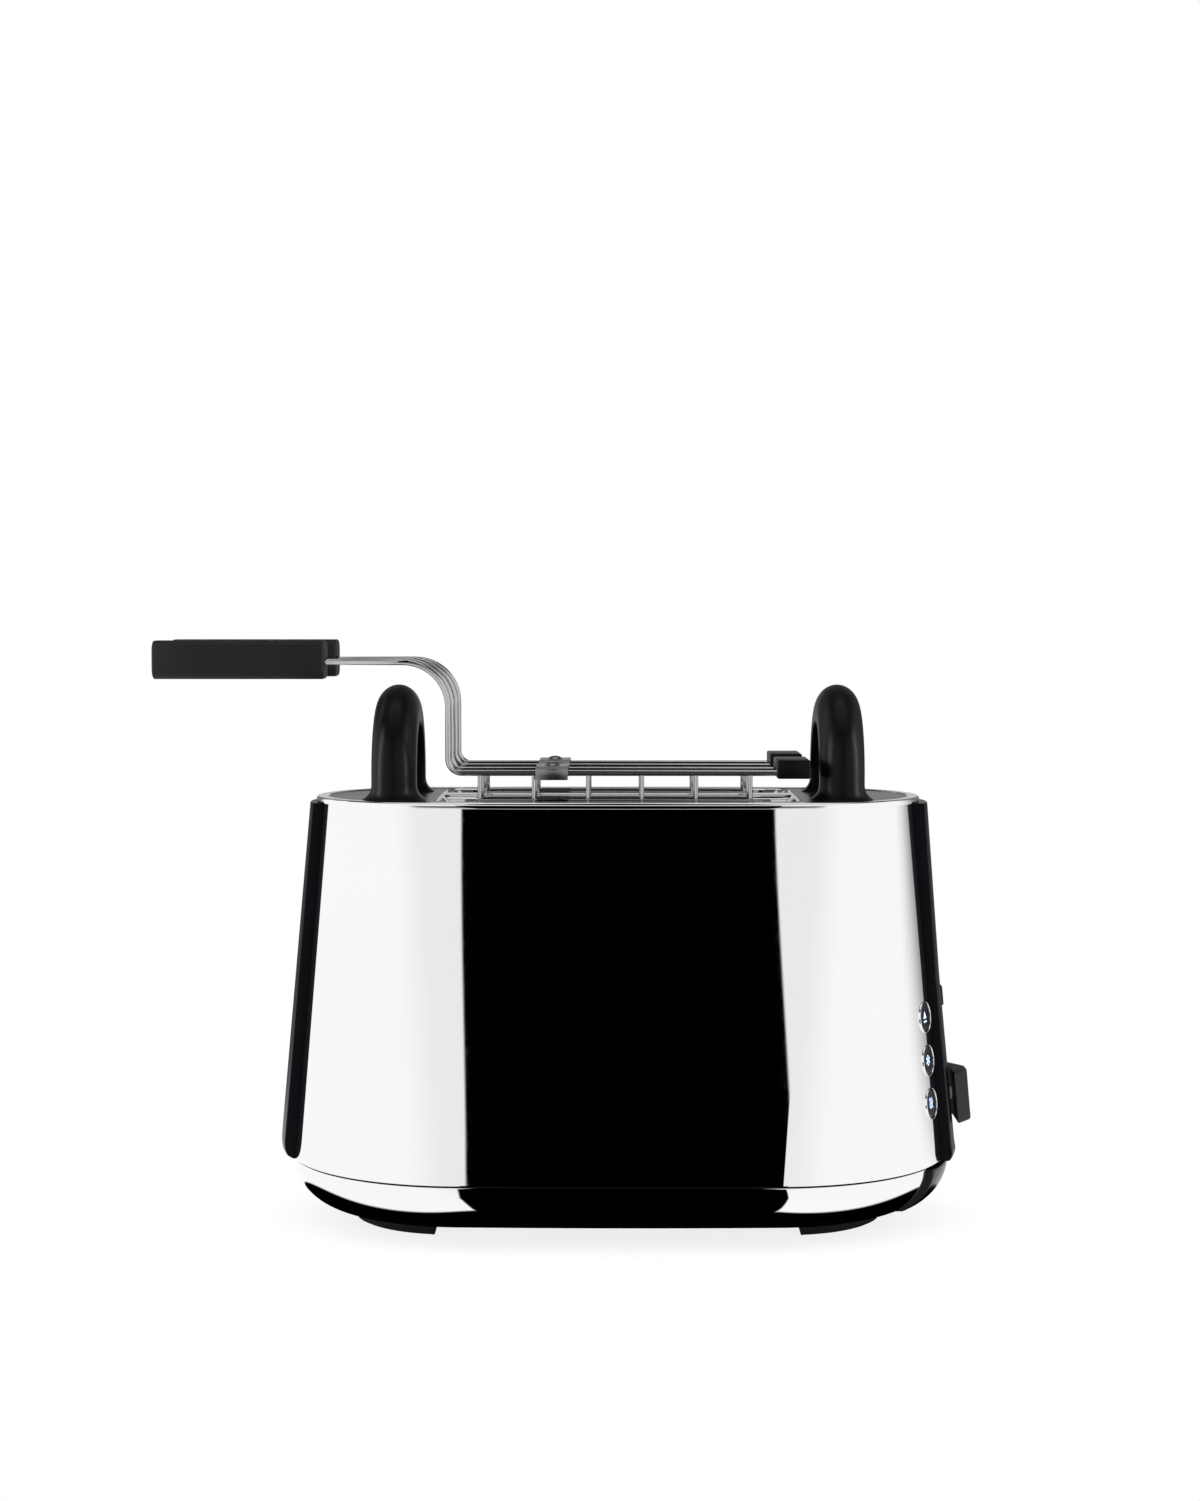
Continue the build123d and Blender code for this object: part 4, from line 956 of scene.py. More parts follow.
    def make_seam(self, mouth: Workpiece) -> None:
        """Build the dark band that shows between shell and skirt.

        Args:
            mouth: the solid of the tray's mouth.
        """
        piece = Workpiece()
        tip, depth = self.bowl_tip - self.sheet, self.bowl_depth - self.sheet
        low, top, thick = self.seam_low_z, self.seam_top_z, 1.4
        rings = [(0.15, low), (0.05, 28.0), (0.05, 29.6), (0.15, top), (thick, top), (thick, low)]
        piece.stack([self.plan(tip - inset, depth - inset, z) for inset, z in rings], self.round_count,
                    joined=True)
        piece.cut(mouth)
        piece.publish("seam_ring", "root", SEAM_BLACK, replaces=["seam_band"])

    def make_base(self, mouth: Workpiece) -> None:
        """Build the black base moulding, its floor with cooling slots.

        Args:
            mouth: the solid of the tray's mouth.
        """
        piece = Workpiece()
        first, steps = self.bowl_turn(self.skirt_low_z), 10
        outer = [self.bowl_at(first + (pi / 2 - first) * step / steps) for step in range(steps + 1)]
        walls = [outer[0], outer[3], (outer[6][0], outer[6][1], self.base_floor_z)]
        inner = []
        for step, (tip, depth, z) in enumerate(walls):
            inset = self.base_wall + self.base_draft * step
            inner.append((tip - inset, depth - inset, z))
        tip, depth, _ = outer[0]
        rim = (tip - 0.3, depth - 0.3, self.skirt_low_z)
        piece.stack([self.plan(*level) for level in [*reversed(inner), rim, *outer[1:]]], self.round_count)
        vents = []
        for y, first_column in ((-self.vent_y, -4), (self.vent_y, -1)):
            for column in range(first_column, 5):
                slot = Workpiece()
                slot.stack([rounded_rectangle(self.vent_half_x, self.vent_half_y, self.vent_half_y - 0.01, z,
                                              y, column * self.vent_pitch) for z in (4.0, 12.0)], 48)
                vents.append(slot)
        piece.cut(mouth, *vents)
        piece.publish("base_moulding", "root", BASE_PLASTIC, replaces=["base_pan"])

    def make_ring(self) -> None:
        """Build the polished ring round the top, with its ledge for the plate."""
        piece = Workpiece()
        low, top, width = self.top_z, self.top_z + self.ring_high, self.ring_width
        section = [(self.ledge_width, low), (5.9, low), (0.35, low), (0.1, low + 0.1), (0.0, low + 0.35)]
        section += [(1.0 - cos(radians(turn)), low + 1.6 + sin(radians(turn))) for turn in range(0, 91, 15)]
        section += [(width - 0.5, top), (width - 0.25, top - 0.07), (width - 0.07, top - 0.25),
                    (width, top - 0.5), (width, low + self.ledge_high),
                    (self.ledge_width, low + self.ledge_high)]
        piece.stack([self.plan(self.ring_tip - inset, self.ring_depth - inset, z) for inset, z in section],
                    self.round_count, joined=True)
        piece.publish("polished_top_ring", "root", MIRROR_STEEL, replaces=["top_ring"])


@dataclass
class TopDeck:
    """The brushed plate, the polished trough with its two slots, and the divider between them."""

    body: Body
    plate_z: float = 188.7
    plate_thick: float = 1.2
    floor_z: float = 177.7
    length: float = 159.0
    width: float = 83.0
    corner: float = 6.0
    floor_length: float = 138.0
    slot_length: float = 132.0
    slot_width: float = 31.0
    slot_pitch: float = 50.0
    slot_corner: float = 9.0
    divider_half: float = 8.8
    divider_foot: float = 67.8
    divider_head: float = 77.5
    trough_count: int = 192
    slot_count: int = 96

    def make_plate(self) -> None:
        """Build the brushed plate from the ring to the trough's rolled edge."""
        body, top, under = self.body, self.plate_z, self.plate_z - self.plate_thick
        piece = Workpiece()

        def rim(z: float) -> Plan:
            """The plate's outer edge at a height."""
            return body.plan(body.ring_tip - body.ring_width, body.ring_depth - body.ring_width, z)

        def mouth(z: float) -> Plan:
            """The edge of its opening at a height."""
            return rounded_rectangle(self.length / 2, self.width / 2, self.corner, z)
        piece.stack([rim(under), rim(top - 0.15), rim(top), mouth(top), mouth(under)], body.round_count,
                    joined=True)
        piece.publish("brushed_top_plate", "root", SATIN_STEEL, replaces=["top_plate"])

    def slot_plan(self, side: Side, inset: float, z: float) -> Plan:
        """The outline of one slot at a height, drawn in by an amount."""
        return rounded_rectangle(self.slot_length / 2 - inset, self.slot_width / 2 - inset,
                                 self.slot_corner - inset, z, side.value * self.slot_pitch / 2)

    def make_trough(self) -> None:
        """Build the trough with a rolled upper edge, sloped ends and two lipped slots."""
        half_x, half_y, corner = self.length / 2, self.width / 2, self.corner
        run = (self.length - self.floor_length) / 2
        wall, edge, inner_corner = 0.8, 0.9, 5.2
        plans = [rounded_rectangle(half_x - inset, half_y - inset * 0.75, corner - inset * 0.5,
                                   self.plate_z - drop)
                 for inset, drop in ((0.05, 0.0), (0.35, -0.12), (0.8, 0.1), (1.15, 0.45))]
        plans += [rounded_rectangle(half_x - edge - (run - edge) * share, half_y - wall, inner_corner,
                                    self.plate_z - (self.plate_z - self.floor_z) * share)
                  for share in (0.25, 0.5, 0.75, 0.9)]
        floor_x, floor_y = half_x - run - 0.2, half_y - wall
        plans += [rounded_rectangle(floor_x, floor_y, inner_corner, self.floor_z + 0.25),
                  rounded_rectangle(floor_x - 0.6, floor_y - 0.4, inner_corner - 0.2, self.floor_z)]
        under = [rounded_rectangle(half_x, half_y, corner, self.plate_z - 0.5),
                 rounded_rectangle(floor_x, half_y, corner, self.floor_z - wall)]
        piece = Workpiece()
        first = piece.ring(plans[0], self.trough_count)
        for skin in (plans[1:], under):
            ring = first
            for plan in skin:
                ring = piece.carry(ring, plan)
            piece.close(ring)
        cutters = []
        for side in Side:
            tool = Workpiece()
            tool.stack([self.slot_plan(side, 0.0, self.floor_z + up) for up in (-4, 4)], self.slot_count)
            cutters.append(tool)
        piece.cut(*cutters)
        lip = ((0.0, -1.4), (0.0, 0.0), (-0.16, 0.42), (-0.5, 0.66), (-0.9, 0.66), (-1.25, 0.34),
               (-1.25, 0.1), (-0.8, 0.1), (-0.6, -1.4))
        for side in Side:
            piece.stack([self.slot_plan(side, inset + 0.05, self.floor_z - 0.35 + height)
                         for inset, height in lip], self.slot_count, joined=True)
        piece.publish("slot_trough_polished", "root", TROUGH_STEEL, replaces=["slot_trough"])

    def make_divider(self) -> None:
        """Build the folded channel between the slots, with rounded top edges."""
        piece = Workpiece()
        foot, head, half = self.divider_foot, self.divider_head, self.divider_half
        verts = piece.block((-foot, -half, self.floor_z + 0.05), (foot, half, self.plate_z + 0.7))
        for vert in verts:
            if vert.co.z > self.plate_z:
                vert.co.x = head if vert.co.x > 0 else -head
        piece.soften(piece.edges_along_x(self.plate_z), 2.0, 6)
        ends = [edge for edge in piece.sharp_edges(30)
                if all(abs(vert.co.x) > foot - 0.8 for vert in edge.verts)]
        piece.soften(ends, 0.4, 2)
        piece.publish("slot_divider_polished", "root", TROUGH_STEEL, replaces=["slot_divider"])


@dataclass
class Grips:
    """The two black arches over the ends of the trough."""

    reach: float = 98.0
    width: float = 19.6
    inner: float = 23.0
    thick: float = 16.4
    flat: float = 5.0
    spring_z: float = 199.0
    foot_z: float = 188.75
    flare: float = 4.1
    lift: float = 1.8
    corner: float = 1.3
    count: int = 72
    leg_steps: int = 10
    arch_steps: int = 56

    def section(self, share: float, grow: float) -> Pair:
        """A point on the arch's section: flat inside with small corners, round outside.

        Args:
            share: share of the way round, from the middle of the flat face.
            grow: how much wider the flared foot is here.

        Returns:
            The offset along X and the distance from the arch's middle line.
        """
        half = self.width / 2 + grow
        near, shoulder = self.inner - grow / 2, self.inner + self.flat
        deep = self.thick - self.flat + grow / 2
        flip = share > 0.5
        part = 1 - share if flip else share
        face, corner, side, crown = 0.06, 0.08, 0.06, 0.3
        if part < face:
            x, reach = (half - self.corner) * part / face, near
        elif part < face + corner:
            angle = (part - face) / corner * pi / 2
            x = half - self.corner + self.corner * sin(angle)
            reach = near + self.corner - self.corner * cos(angle)
        elif part < face + corner + side:
            risen = (part - face - corner) / side
            x, reach = half, near + self.corner + (shoulder - near - self.corner) * risen
        else:
            angle = (part - face - corner - side) / crown * pi / 2
            x, reach = half * cos(angle), shoulder + deep * sin(angle)
        return (-x if flip else x), reach

    def make(self, end: End) -> None:
        """Build one arch as a section carried up a leg, over the crown and down the other.

        Args:
            end: the end of the trough that it stands at.
        """
        name = f"grip_{end.name.lower()}"
        middle = end.value * self.reach
        flare_high = self.lift * self.flare
        legs = []
        for step in range(self.leg_steps + 1):
            risen = 1 - cos(pi / 2 * step / self.leg_steps)
            legs.append((self.foot_z + flare_high * risen, self.flare * (1 - risen) ** 3))
        stations = [(-90.0, z, grow) for z, grow in legs]
        stations += [(-90.0 + 180.0 * step / self.arch_steps, self.spring_z, 0.0)
                     for step in range(self.arch_steps + 1)]
        stations += [(90.0, z, grow) for z, grow in reversed(legs)]

        def ring(turn: float, z: float, grow: float) -> Plan:
            """Lay the section across the arch.

            Args:
                turn: the angle round the arch in degrees.
                z: the height of its middle line.
                grow: how much wider the section is.

            Returns:
                The section as a ring.
            """
            def place(share: float) -> Vector:
                """The point for a share of the way round the section."""
                x, reach = self.section(share, grow)
                return Vector((middle + x, reach * sin(radians(turn)), z + reach * cos(radians(turn))))
            return place
        piece = Workpiece()
        piece.stack([ring(*station) for station in stations], self.count)
        piece.publish(f"{name}_arch", "root", BLACK_PLASTIC, replaces=[name])


@dataclass
class EndPanels:
    """The black panels down both ends, proud of the steel and narrower at the top."""

    body: Body
    top_half: float = 17.5
    low_half: float = 26.0
    low_z: float = 29.6
    edge: float = 0.7
    off_steel: float = 0.08
    rows: int = 48
    columns: int = 24
    crowding: float = 1.25
    left_proud: tuple[Pair, ...] = ((29.6, 0.8), (30.6, 2.8), (33.2, 4.3), (37.0, 4.7), (186.4, 4.5))
    right_proud: tuple[Pair, ...] = ((28.9, 3.6), (31.5, 4.9), (35.0, 4.6), (110.0, 4.1), (186.4, 5.2))

    def proud(self, levels: Sequence[Pair], z: float) -> float:
        """How far a panel stands proud at a height.

        Args:
            levels: heights, rising, and how far it stands proud there.
            z: the height.

        Returns:
            The distance from the steel.
        """
        for (low, before), (high, after) in zip(levels, levels[1:]):
            if z <= high:
                return before + (after - before) * (z - low) / (high - low)
        return levels[-1][1]

    def half_width(self, z: float) -> float:
        """Half the panel's width at a height."""
        share = (z - self.low_z) / (self.body.top_z - self.low_z)
        return self.low_half + (self.top_half - self.low_half) * share

    def steel_x(self, z: float, grow: float, y: float) -> float:
        """How far the shell reaches along X, grown by an amount."""
        tip, depth = self.body.shell_sizes(z)
        return self.body.end_x(tip + grow, depth + grow, y)

    def make(self, end: End, cutters: Sequence[Workpiece] = ()) -> None:
        """Build one panel as a curved sheet, thickened back to the steel, with soft edges.

        Args:
            end: the end of the body that it covers.
            cutters: the solids of its slots.
        """
        levels = self.left_proud if end is End.LEFT else self.right_proud
        low, high = levels[0][0], levels[-1][0]
        heights = [low + (high - low) * (row / self.rows) ** self.crowding for row in range(self.rows + 1)]

        def outer(across: float, up: float) -> Vector:
            """Find a place on the outer face.

            Args:
                across: the share across.
                up: the share up.

            Returns:
                The place.
            """
            z = heights[round(up * self.rows)]
            y = (across - 0.5) * 2 * self.half_width(z)
            return Vector((end.value * self.steel_x(z, self.proud(levels, z), y), y, z))

        def inner(place: Vector) -> Vector:
            """The place just off the steel behind a point of the outer face."""
            z = min(heights, key=lambda height: abs(height - place.z))
            return Vector((end.value * self.steel_x(z, self.off_steel, place.y), place.y, z))
        piece = Workpiece()
        piece.sheet(outer, self.columns, self.rows)
        piece.thicken(inner)
        rim = [edge for edge in piece.sharp_edges(50)
               if all(abs(vert.co.x) > self.steel_x(vert.co.z, 0.5, vert.co.y) for vert in edge.verts)]
        piece.soften(rim, self.edge)
        if cutters:
            piece.cut(*cutters)
        name = "left_end_panel" if end is End.LEFT else "control_panel"
        piece.publish(f"{name}_moulding", "root", PANEL_PLASTIC, replaces=[name])


@dataclass
class Controls:
    """Lever knob, browning slider and the three lit push buttons in their bright rings."""

    body: Body
    slot_from: float = 100.0
    slot_to: float = 175.0
    lever_z: float = 54.6
    lever_travel: float = 72.0
    lever_gap: float = 3.2
    lever_spare: float = 6.0
    knob_high: float = 23.0
    knob_wide: float = 30.0
    knob_deep: float = 7.4
    knob_off: float = 5.7
    knob_taper: float = 0.82
    knob_dish: float = 0.3
    slider_y: float = 13.0
    slider_z: float = 97.0
    slider_gap: float = 1.8
    slider_down: float = 16.0
    slider_up: float = 37.0
    slider_off: float = 4.2
    rib_pitch: float = 1.2
    button_azimuth: float = 25.5
    button_z: float = 74.5
    button_pitch: float = 18.8
    button_radius: float = 6.15
    button_face: float = 0.1
    hole_radius: float = 6.9
    ring_inner: float = 6.5
    ring_outer: float = 7.0
    sign_thick: float = 0.12
    lean: float = field(init=False)

    def __post_init__(self) -> None:
        """Work out how the end of the body leans."""
        body = self.body
        self.lean = (body.tip_low - body.tip_top) / (body.top_z - body.low_z)

    def button_spot(self, step: int) -> Matrix:
        """Where a button sits on the round end, its Z axis facing out.

        Args:
            step: 1 for the upper button, 0 for the middle one, -1 for the lower one.

        Returns:
            The place of its centre on the shell.
        """
        body, z = self.body, self.button_z + self.button_pitch * step
        across = Vector((cos(radians(self.button_azimuth)), -sin(radians(self.button_azimuth)), 0.0))

        def reach(height: float) -> float:
            """How far the round end reaches toward the button at a height."""
            centre, radius = body.round_end(*body.shell_sizes(height))
            return centre * across.x + radius
        centre, radius = body.round_end(*body.shell_sizes(z))
        lean = atan2(reach(z) - reach(z + 1), 1.0)
        out = Vector((across.x * cos(lean), across.y * cos(lean), sin(lean)))
        side = Vector((-across.y, across.x, 0.0))
        turned = Matrix((side, out.cross(side), out)).transposed().to_4x4()
        return Matrix.Translation(Vector((centre + radius * across.x, radius * across.y, z))) @ turned

    def slot_tools(self) -> list[Workpiece]:
        """Cut-outs for the lever's and the slider's slots.

        Returns:
            The two solids.
        """
        lever, slider = Workpiece(), Workpiece()
        lever.block((self.slot_from, -self.lever_gap, self.lever_z - self.lever_spare),
                    (self.slot_to, self.lever_gap, self.lever_z + self.lever_travel + self.lever_spare), 0.9)
        slider.block((self.slot_from, self.slider_y - self.slider_gap, self.slider_z - self.slider_down),
                     (self.slot_to, self.slider_y + self.slider_gap, self.slider_z + self.slider_up), 0.7)
        return [lever, slider]

    def button_tools(self) -> list[Workpiece]:
        """Cut-outs for the holes under the button rings.

        Returns:
            The three solids.
        """
        tools = [Workpiece() for _ in Symbol]
        for tool, step in zip(tools, (1, 0, -1)):
            tool.rod(self.hole_radius, -6.0, 6.0, self.button_spot(step), 64)
        return tools

    def make_lever_knob(self) -> None:
        """Build the lever's wedge, leaning with the panel, its narrow outer face slightly dished."""
        back = self.body.shell_sizes(self.lever_z)[0] + self.knob_off
        face = back + self.knob_deep
        half_y, half_z = self.knob_wide / 2, self.knob_high / 2
        piece = Workpiece()
        piece.block((back, -half_y, self.lever_z - half_z), (face, half_y, self.lever_z + half_z), 1.1, 4)
        flats = [edge for edge in piece.bm.edges if edge.calc_length() > 5]
        bmesh.ops.subdivide_edges(piece.bm, edges=flats, cuts=7, use_grid_fill=True)
        for vert in piece.bm.verts:
            up = (vert.co.z - self.lever_z) / half_z
            out = vert.co.y / half_y
            vert.co.y *= 1 - self.knob_taper * (vert.co.x - back) / self.knob_deep
            if vert.co.x > face - 0.2:
                vert.co.x -= self.knob_dish * max(0.0, 1 - up * up) * max(0.0, 1 - out * out)
            vert.co.x -= self.lean * (vert.co.z - self.lever_z)
        arm = Workpiece()
        arm.block((back - 3, -1.9, self.lever_z - 2.5), (back + 1.5, 1.9, self.lever_z + 2.5))
        piece.cut(arm)
        piece.publish("lever_knob_block", "carriage", KNOB_PLASTIC, replaces=["lever_knob"])

    def make_slider(self) -> None:
        """Build the small ribbed browning knob on its stem."""
        foot = self.body.shell_sizes(self.slider_z)[0] + self.slider_off
        piece = Workpiece()
        piece.block((0.3, -4.0, -4.5), (2.3, 4.0, 4.5), 0.6)
        piece.block((-12.0, -1.2, -1.2), (0.5, 1.2, 1.2))
        for step in range(-2, 3):
            rib = step * self.rib_pitch
            piece.block((2.0, -2.9, rib - 0.25), (2.45, 2.9, rib + 0.25), 0.1, 2)
        piece.move(Matrix.Translation((foot, self.slider_y, self.slider_z))
                   @ Matrix.Rotation(-atan2(self.lean, 1), 4, "Y"))
        piece.publish("browning_knob_ribbed", "browning_knob", KNOB_PLASTIC, replaces=["browning_knob"])

    def make_button(self, symbol: Symbol, step: int) -> None:
        """Build one dished button cap on its stem, and its lit symbol.

        Args:
            symbol: what the button shows.
            step: 1 for the upper button, 0 for the middle one, -1 for the lower one.
        """
        spot, name = self.button_spot(step), f"button_{symbol.value}"
        rim, top = self.button_radius, self.button_face
        stem, flank = 2.2, top - 2.9
        cap = [(0.0, -8.5), (stem, -8.5), (stem, flank), (rim, flank), (rim, top - 0.5),
               (rim - 0.12, top - 0.2), (rim - 0.35, top - 0.04), (rim - 0.7, top)]
        cap += [(rim * share, top - dish)
                for share, dish in ((0.75, 0.08), (0.5, 0.16), (0.25, 0.2), (0.0, 0.22))]
        piece = Workpiece()
        piece.spun(cap, spot, 64)
        piece.publish(f"{name}_cap", name, BUTTON_FACE, replaces=[name])
        sign = Workpiece()
        draw = {Symbol.EJECT: self.draw_eject, Symbol.DEFROST: self.draw_flake,
                Symbol.REHEAT: self.draw_waves}[symbol]
        draw(sign)
        sign.move(spot @ Matrix.Translation((0, 0, top - 0.16)))
        sign.publish(f"{name}_symbol", name, LIT_SYMBOL)

    def lay_bar(self, sign: Workpiece, middle: Pair, size: Pair, turn: float = 0.0) -> None:
        """Lay one thin raised bar of a symbol.

        Args:
            sign: the workpiece that it is laid on.
            middle: the place of its middle.
            size: its length and width.
            turn: its direction in degrees.
        """
        place = Matrix.Translation((*middle, 0)) @ Matrix.Rotation(radians(turn), 4, "Z")
        shape = Matrix.Diagonal((*size, self.sign_thick, 1.0))
        bmesh.ops.create_cube(sign.bm, size=1.0, matrix=place @ shape)

    def draw_eject(self, sign: Workpiece) -> None:
        """Lay out a triangle over a bar.

        Args:
            sign: the workpiece that it is laid on.
        """
        bmesh.ops.create_cone(sign.bm, cap_ends=True, segments=3, radius1=2.1, radius2=2.1,
                              depth=self.sign_thick, matrix=Matrix.Translation((0, 0.5, 0)))
        self.lay_bar(sign, (0.0, -1.9), (3.6, 0.7))

    def draw_flake(self, sign: Workpiece) -> None:
        """Lay out a snow crystal: three crossing bars with forked ends.

        Args:
            sign: the workpiece that it is laid on.
        """
        for turn in (30, 90, 150):
            self.lay_bar(sign, (0.0, 0.0), (4.6, 0.42), turn)
            for away in (-1, 1):
                for slant in (-45, 45):
                    tilt = turn + (0 if away > 0 else 180) + slant
                    fork = Vector((cos(radians(turn)), sin(radians(turn)))) * 1.55 * away
                    fork += Vector((cos(radians(tilt)), sin(radians(tilt)))) * 0.4
                    self.lay_bar(sign, (fork.x, fork.y), (0.95, 0.32), tilt)

    def draw_waves(self, sign: Workpiece) -> None:
        """Lay out three rising waves of short bars.

        Args:
            sign: the workpiece that they are laid on.
        """
        rise, swing, waves = 0.57, 0.45, 2.2
        for column in (-1.5, 0.0, 1.5):
            for step in range(8):
                y = -2.0 + step * rise
                sway, ahead = swing * sin(y * waves), swing * sin((y + rise) * waves)
                self.lay_bar(sign, (column + (sway + ahead) / 2, y + 0.28), (0.75, 0.42),
                             degrees(atan2(rise, ahead - sway)))

    def make_rings(self) -> None:
        """Build the three bright rings in one piece."""
        piece = Workpiece()
        inner, outer, foot = self.ring_inner, self.ring_outer, -1.6
        crown = [(outer, 0.10), (outer - 0.04, 0.26), (outer - 0.12, 0.36), (outer - 0.25, 0.4),
                 (inner + 0.12, 0.36), (inner + 0.04, 0.24), (inner, 0.05)]
        for step in (1, 0, -1):
            piece.spun([(inner, foot), (outer, foot), *crown, (inner, foot)], self.button_spot(step), 72)
        piece.publish("button_rings_bright", "root", MIRROR_STEEL, replaces=["button_rings"])


@dataclass
class Underside:
    """Tray front, feet, screws and the cord's entry."""

    body: Body
    tray_half: float = 40.0
    tray_low_z: float = 9.6
    tray_top_z: float = 28.2
    tray_proud: float = 2.5
    tray_thick: float = 4.0
    mouth_spare: float = 0.6
    foot_tip: float = 118.0
    foot_depth: float = 46.0
    foot_from_x: float = 79.5
    foot_from_y: float = 14.0
    foot_sole_z: float = 0.6
    foot_high: float = 6.4
    screw_x: float = 75.7
    screw_y: float = 44.5
    inlet_x: float = -45.0
    inlet_y: float = 80.5
    inlet_z: float = 19.0
    inlet_square: float = 12.0
    inlet_bore: float = 3.4

    def make_tray_front(self) -> None:
        """Build the tray's curved black front, thickened inward with soft edges."""
        body, rows, columns = self.body, 16, 32
        first, last = body.bowl_turn(self.tray_low_z), body.bowl_turn(self.tray_top_z)

        def on_bowl(turn: float, y: float, grow: float) -> Vector:
            """The place on the grown bowl at an angle of its quarter round."""
            tip, depth, z = body.bowl_at(turn, grow)
            return Vector((body.end_x(tip, depth, y), y, z))

        def outer(across: float, up: float) -> Vector:
            """The place on the outer face for a share across and a share up."""
            return on_bowl(first + (last - first) * up, (across - 0.5) * 2 * self.tray_half, self.tray_proud)

        def inner(place: Vector) -> Vector:
            """The place behind a point of the outer face."""
            turn = body.bowl_turn(min(max(place.z, self.tray_low_z), self.tray_top_z))
            return on_bowl(turn, place.y, self.tray_proud - self.tray_thick)
        piece = Workpiece()
        piece.sheet(outer, columns, rows)
        piece.thicken(inner)
        piece.soften(piece.sharp_edges(50), 0.6)
        piece.publish("tray_front_moulding", "crumb_tray", BASE_PLASTIC, replaces=["tray_front"])

    def make_feet(self) -> None:
        """Build four pads that follow the base's plan, their soles bevelled all round."""
        piece = Workpiece()
        sole_top = self.foot_sole_z + 0.1
        piece.close(piece.ring(self.body.plan(self.foot_tip, self.foot_depth, self.foot_sole_z),
                               self.body.round_count))
        for spot, square in (((self.foot_from_x, 0, 0), (-1, 0, 0)), ((0, -self.foot_from_y, 0), (0, 1, 0))):
            geom = piece.bm.verts[:] + piece.bm.edges[:] + piece.bm.faces[:]
            bmesh.ops.bisect_plane(piece.bm, geom=geom, plane_co=spot, plane_no=square, clear_outer=True)
        corner = [vert for vert in piece.bm.verts if abs(vert.co.x - self.foot_from_x) < 0.01
                  and abs(vert.co.y + self.foot_from_y) < 0.01]
        bmesh.ops.bevel(piece.bm, geom=corner, offset=5.0, offset_type="OFFSET", segments=8, profile=0.5,
                        affect="VERTICES", material=-1)
        piece.thicken(lambda place: place + Vector((0, 0, self.foot_high)))
        sole = [face for face in piece.bm.faces if face.calc_center_median().z < sole_top]
        bmesh.ops.inset_region(piece.bm, faces=sole, thickness=1.2, depth=0.0)
        middle = [face for face in piece.bm.faces if face.normal.z < -0.9 and len(face.verts) > 8
                  and all(vert.co.z < sole_top for vert in face.verts)]
        for vert in {vert for face in middle for vert in face.verts}:
            vert.co.z = 0.0
        piece.mirrored("X")
        piece.mirrored("Y")
        piece.publish("rubber_feet_pads", "root", RUBBER, replaces=["feet"])

    def make_screws(self) -> None:
        """Build the four screw heads under the base, each with a cross recess."""
        piece, tools = Workpiece(), []
        head = [(0.0, 15.0), (1.9, 15.0), (2.0, 14.6), (2.0, 8.0), (3.6, 8.0), (3.6, 7.35), (3.4, 7.12),
                (3.0, 7.02), (0.0, 7.02)]
        for side_x in (-1, 1):
            for side_y in (-1, 1):
                spot = Matrix.Translation((side_x * self.screw_x, side_y * self.screw_y, 0.0))
                piece.spun(head, spot, 32)
                for turn in (20, 110):
                    tool = Workpiece()
                    tool.block((-1.8, -0.3, 6.6), (1.8, 0.3, 7.6))
                    tool.move(spot @ Matrix.Rotation(radians(turn), 4, "Z"))
                    tools.append(tool)
        piece.cut(*tools)
        piece.publish("base_screw_heads", "root", ZINC, replaces=["base_screws"])

    def make_inlet(self) -> None:
        """Build the bushing of the cord's entry: a round flange on a square barrel, bored through."""
        piece, barrel, bore = Workpiece(), Workpiece(), Workpiece()
        radius = self.inlet_bore
        face = (Matrix.Translation((self.inlet_x, self.inlet_y, self.inlet_z))
                @ Matrix.Rotation(radians(-90), 4, "X"))
        piece.spun([(radius, -2.4), (6.0, -2.4), (8.0, -2.0), (8.0, -0.9), (7.8, -0.45), (7.3, -0.15),
                    (6.6, 0.0), (4.4, 0.0), (3.75, -0.2), (radius, -0.7), (radius, -2.4)], face, 64)
        barrel.stack([self.barrel_plan(y) for y in (78.3, 68.5)], 64)
        bore.rod(radius, -14.0, 1.0, face, 64)
        barrel.cut(bore)
        piece.publish("cord_inlet_flange", "root", RUBBER, replaces=["cord_inlet"])
        barrel.publish("cord_inlet_barrel", "root", RUBBER)

    def barrel_plan(self, y: float) -> Plan:
        """The bushing's rounded square, upright at a depth.

        Args:
            y: the depth.

        Returns:
            The plan.
        """
        half = self.inlet_square / 2
        flat = rounded_rectangle(half, half, 2.0, 0.0)
        return lambda share: Vector((self.inlet_x + flat(share).x, y, self.inlet_z + flat(share).y))

    def mouth_tool(self) -> Workpiece:
        """A cut-out for the tray's mouth.

        Returns:
            The solid.
        """
        tool, half = Workpiece(), self.tray_half + self.mouth_spare
        tool.block((100, -half, 9.0), (175, half, 28.5))
        return tool

    def inlet_tool(self) -> Workpiece:
        """A cut-out for the bushing's square hole in the skirt.

        Returns:
            The solid.
        """
        tool = Workpiece()
        tool.stack([self.barrel_plan(y) for y in (60.0, 90.0)], 64)
        return tool


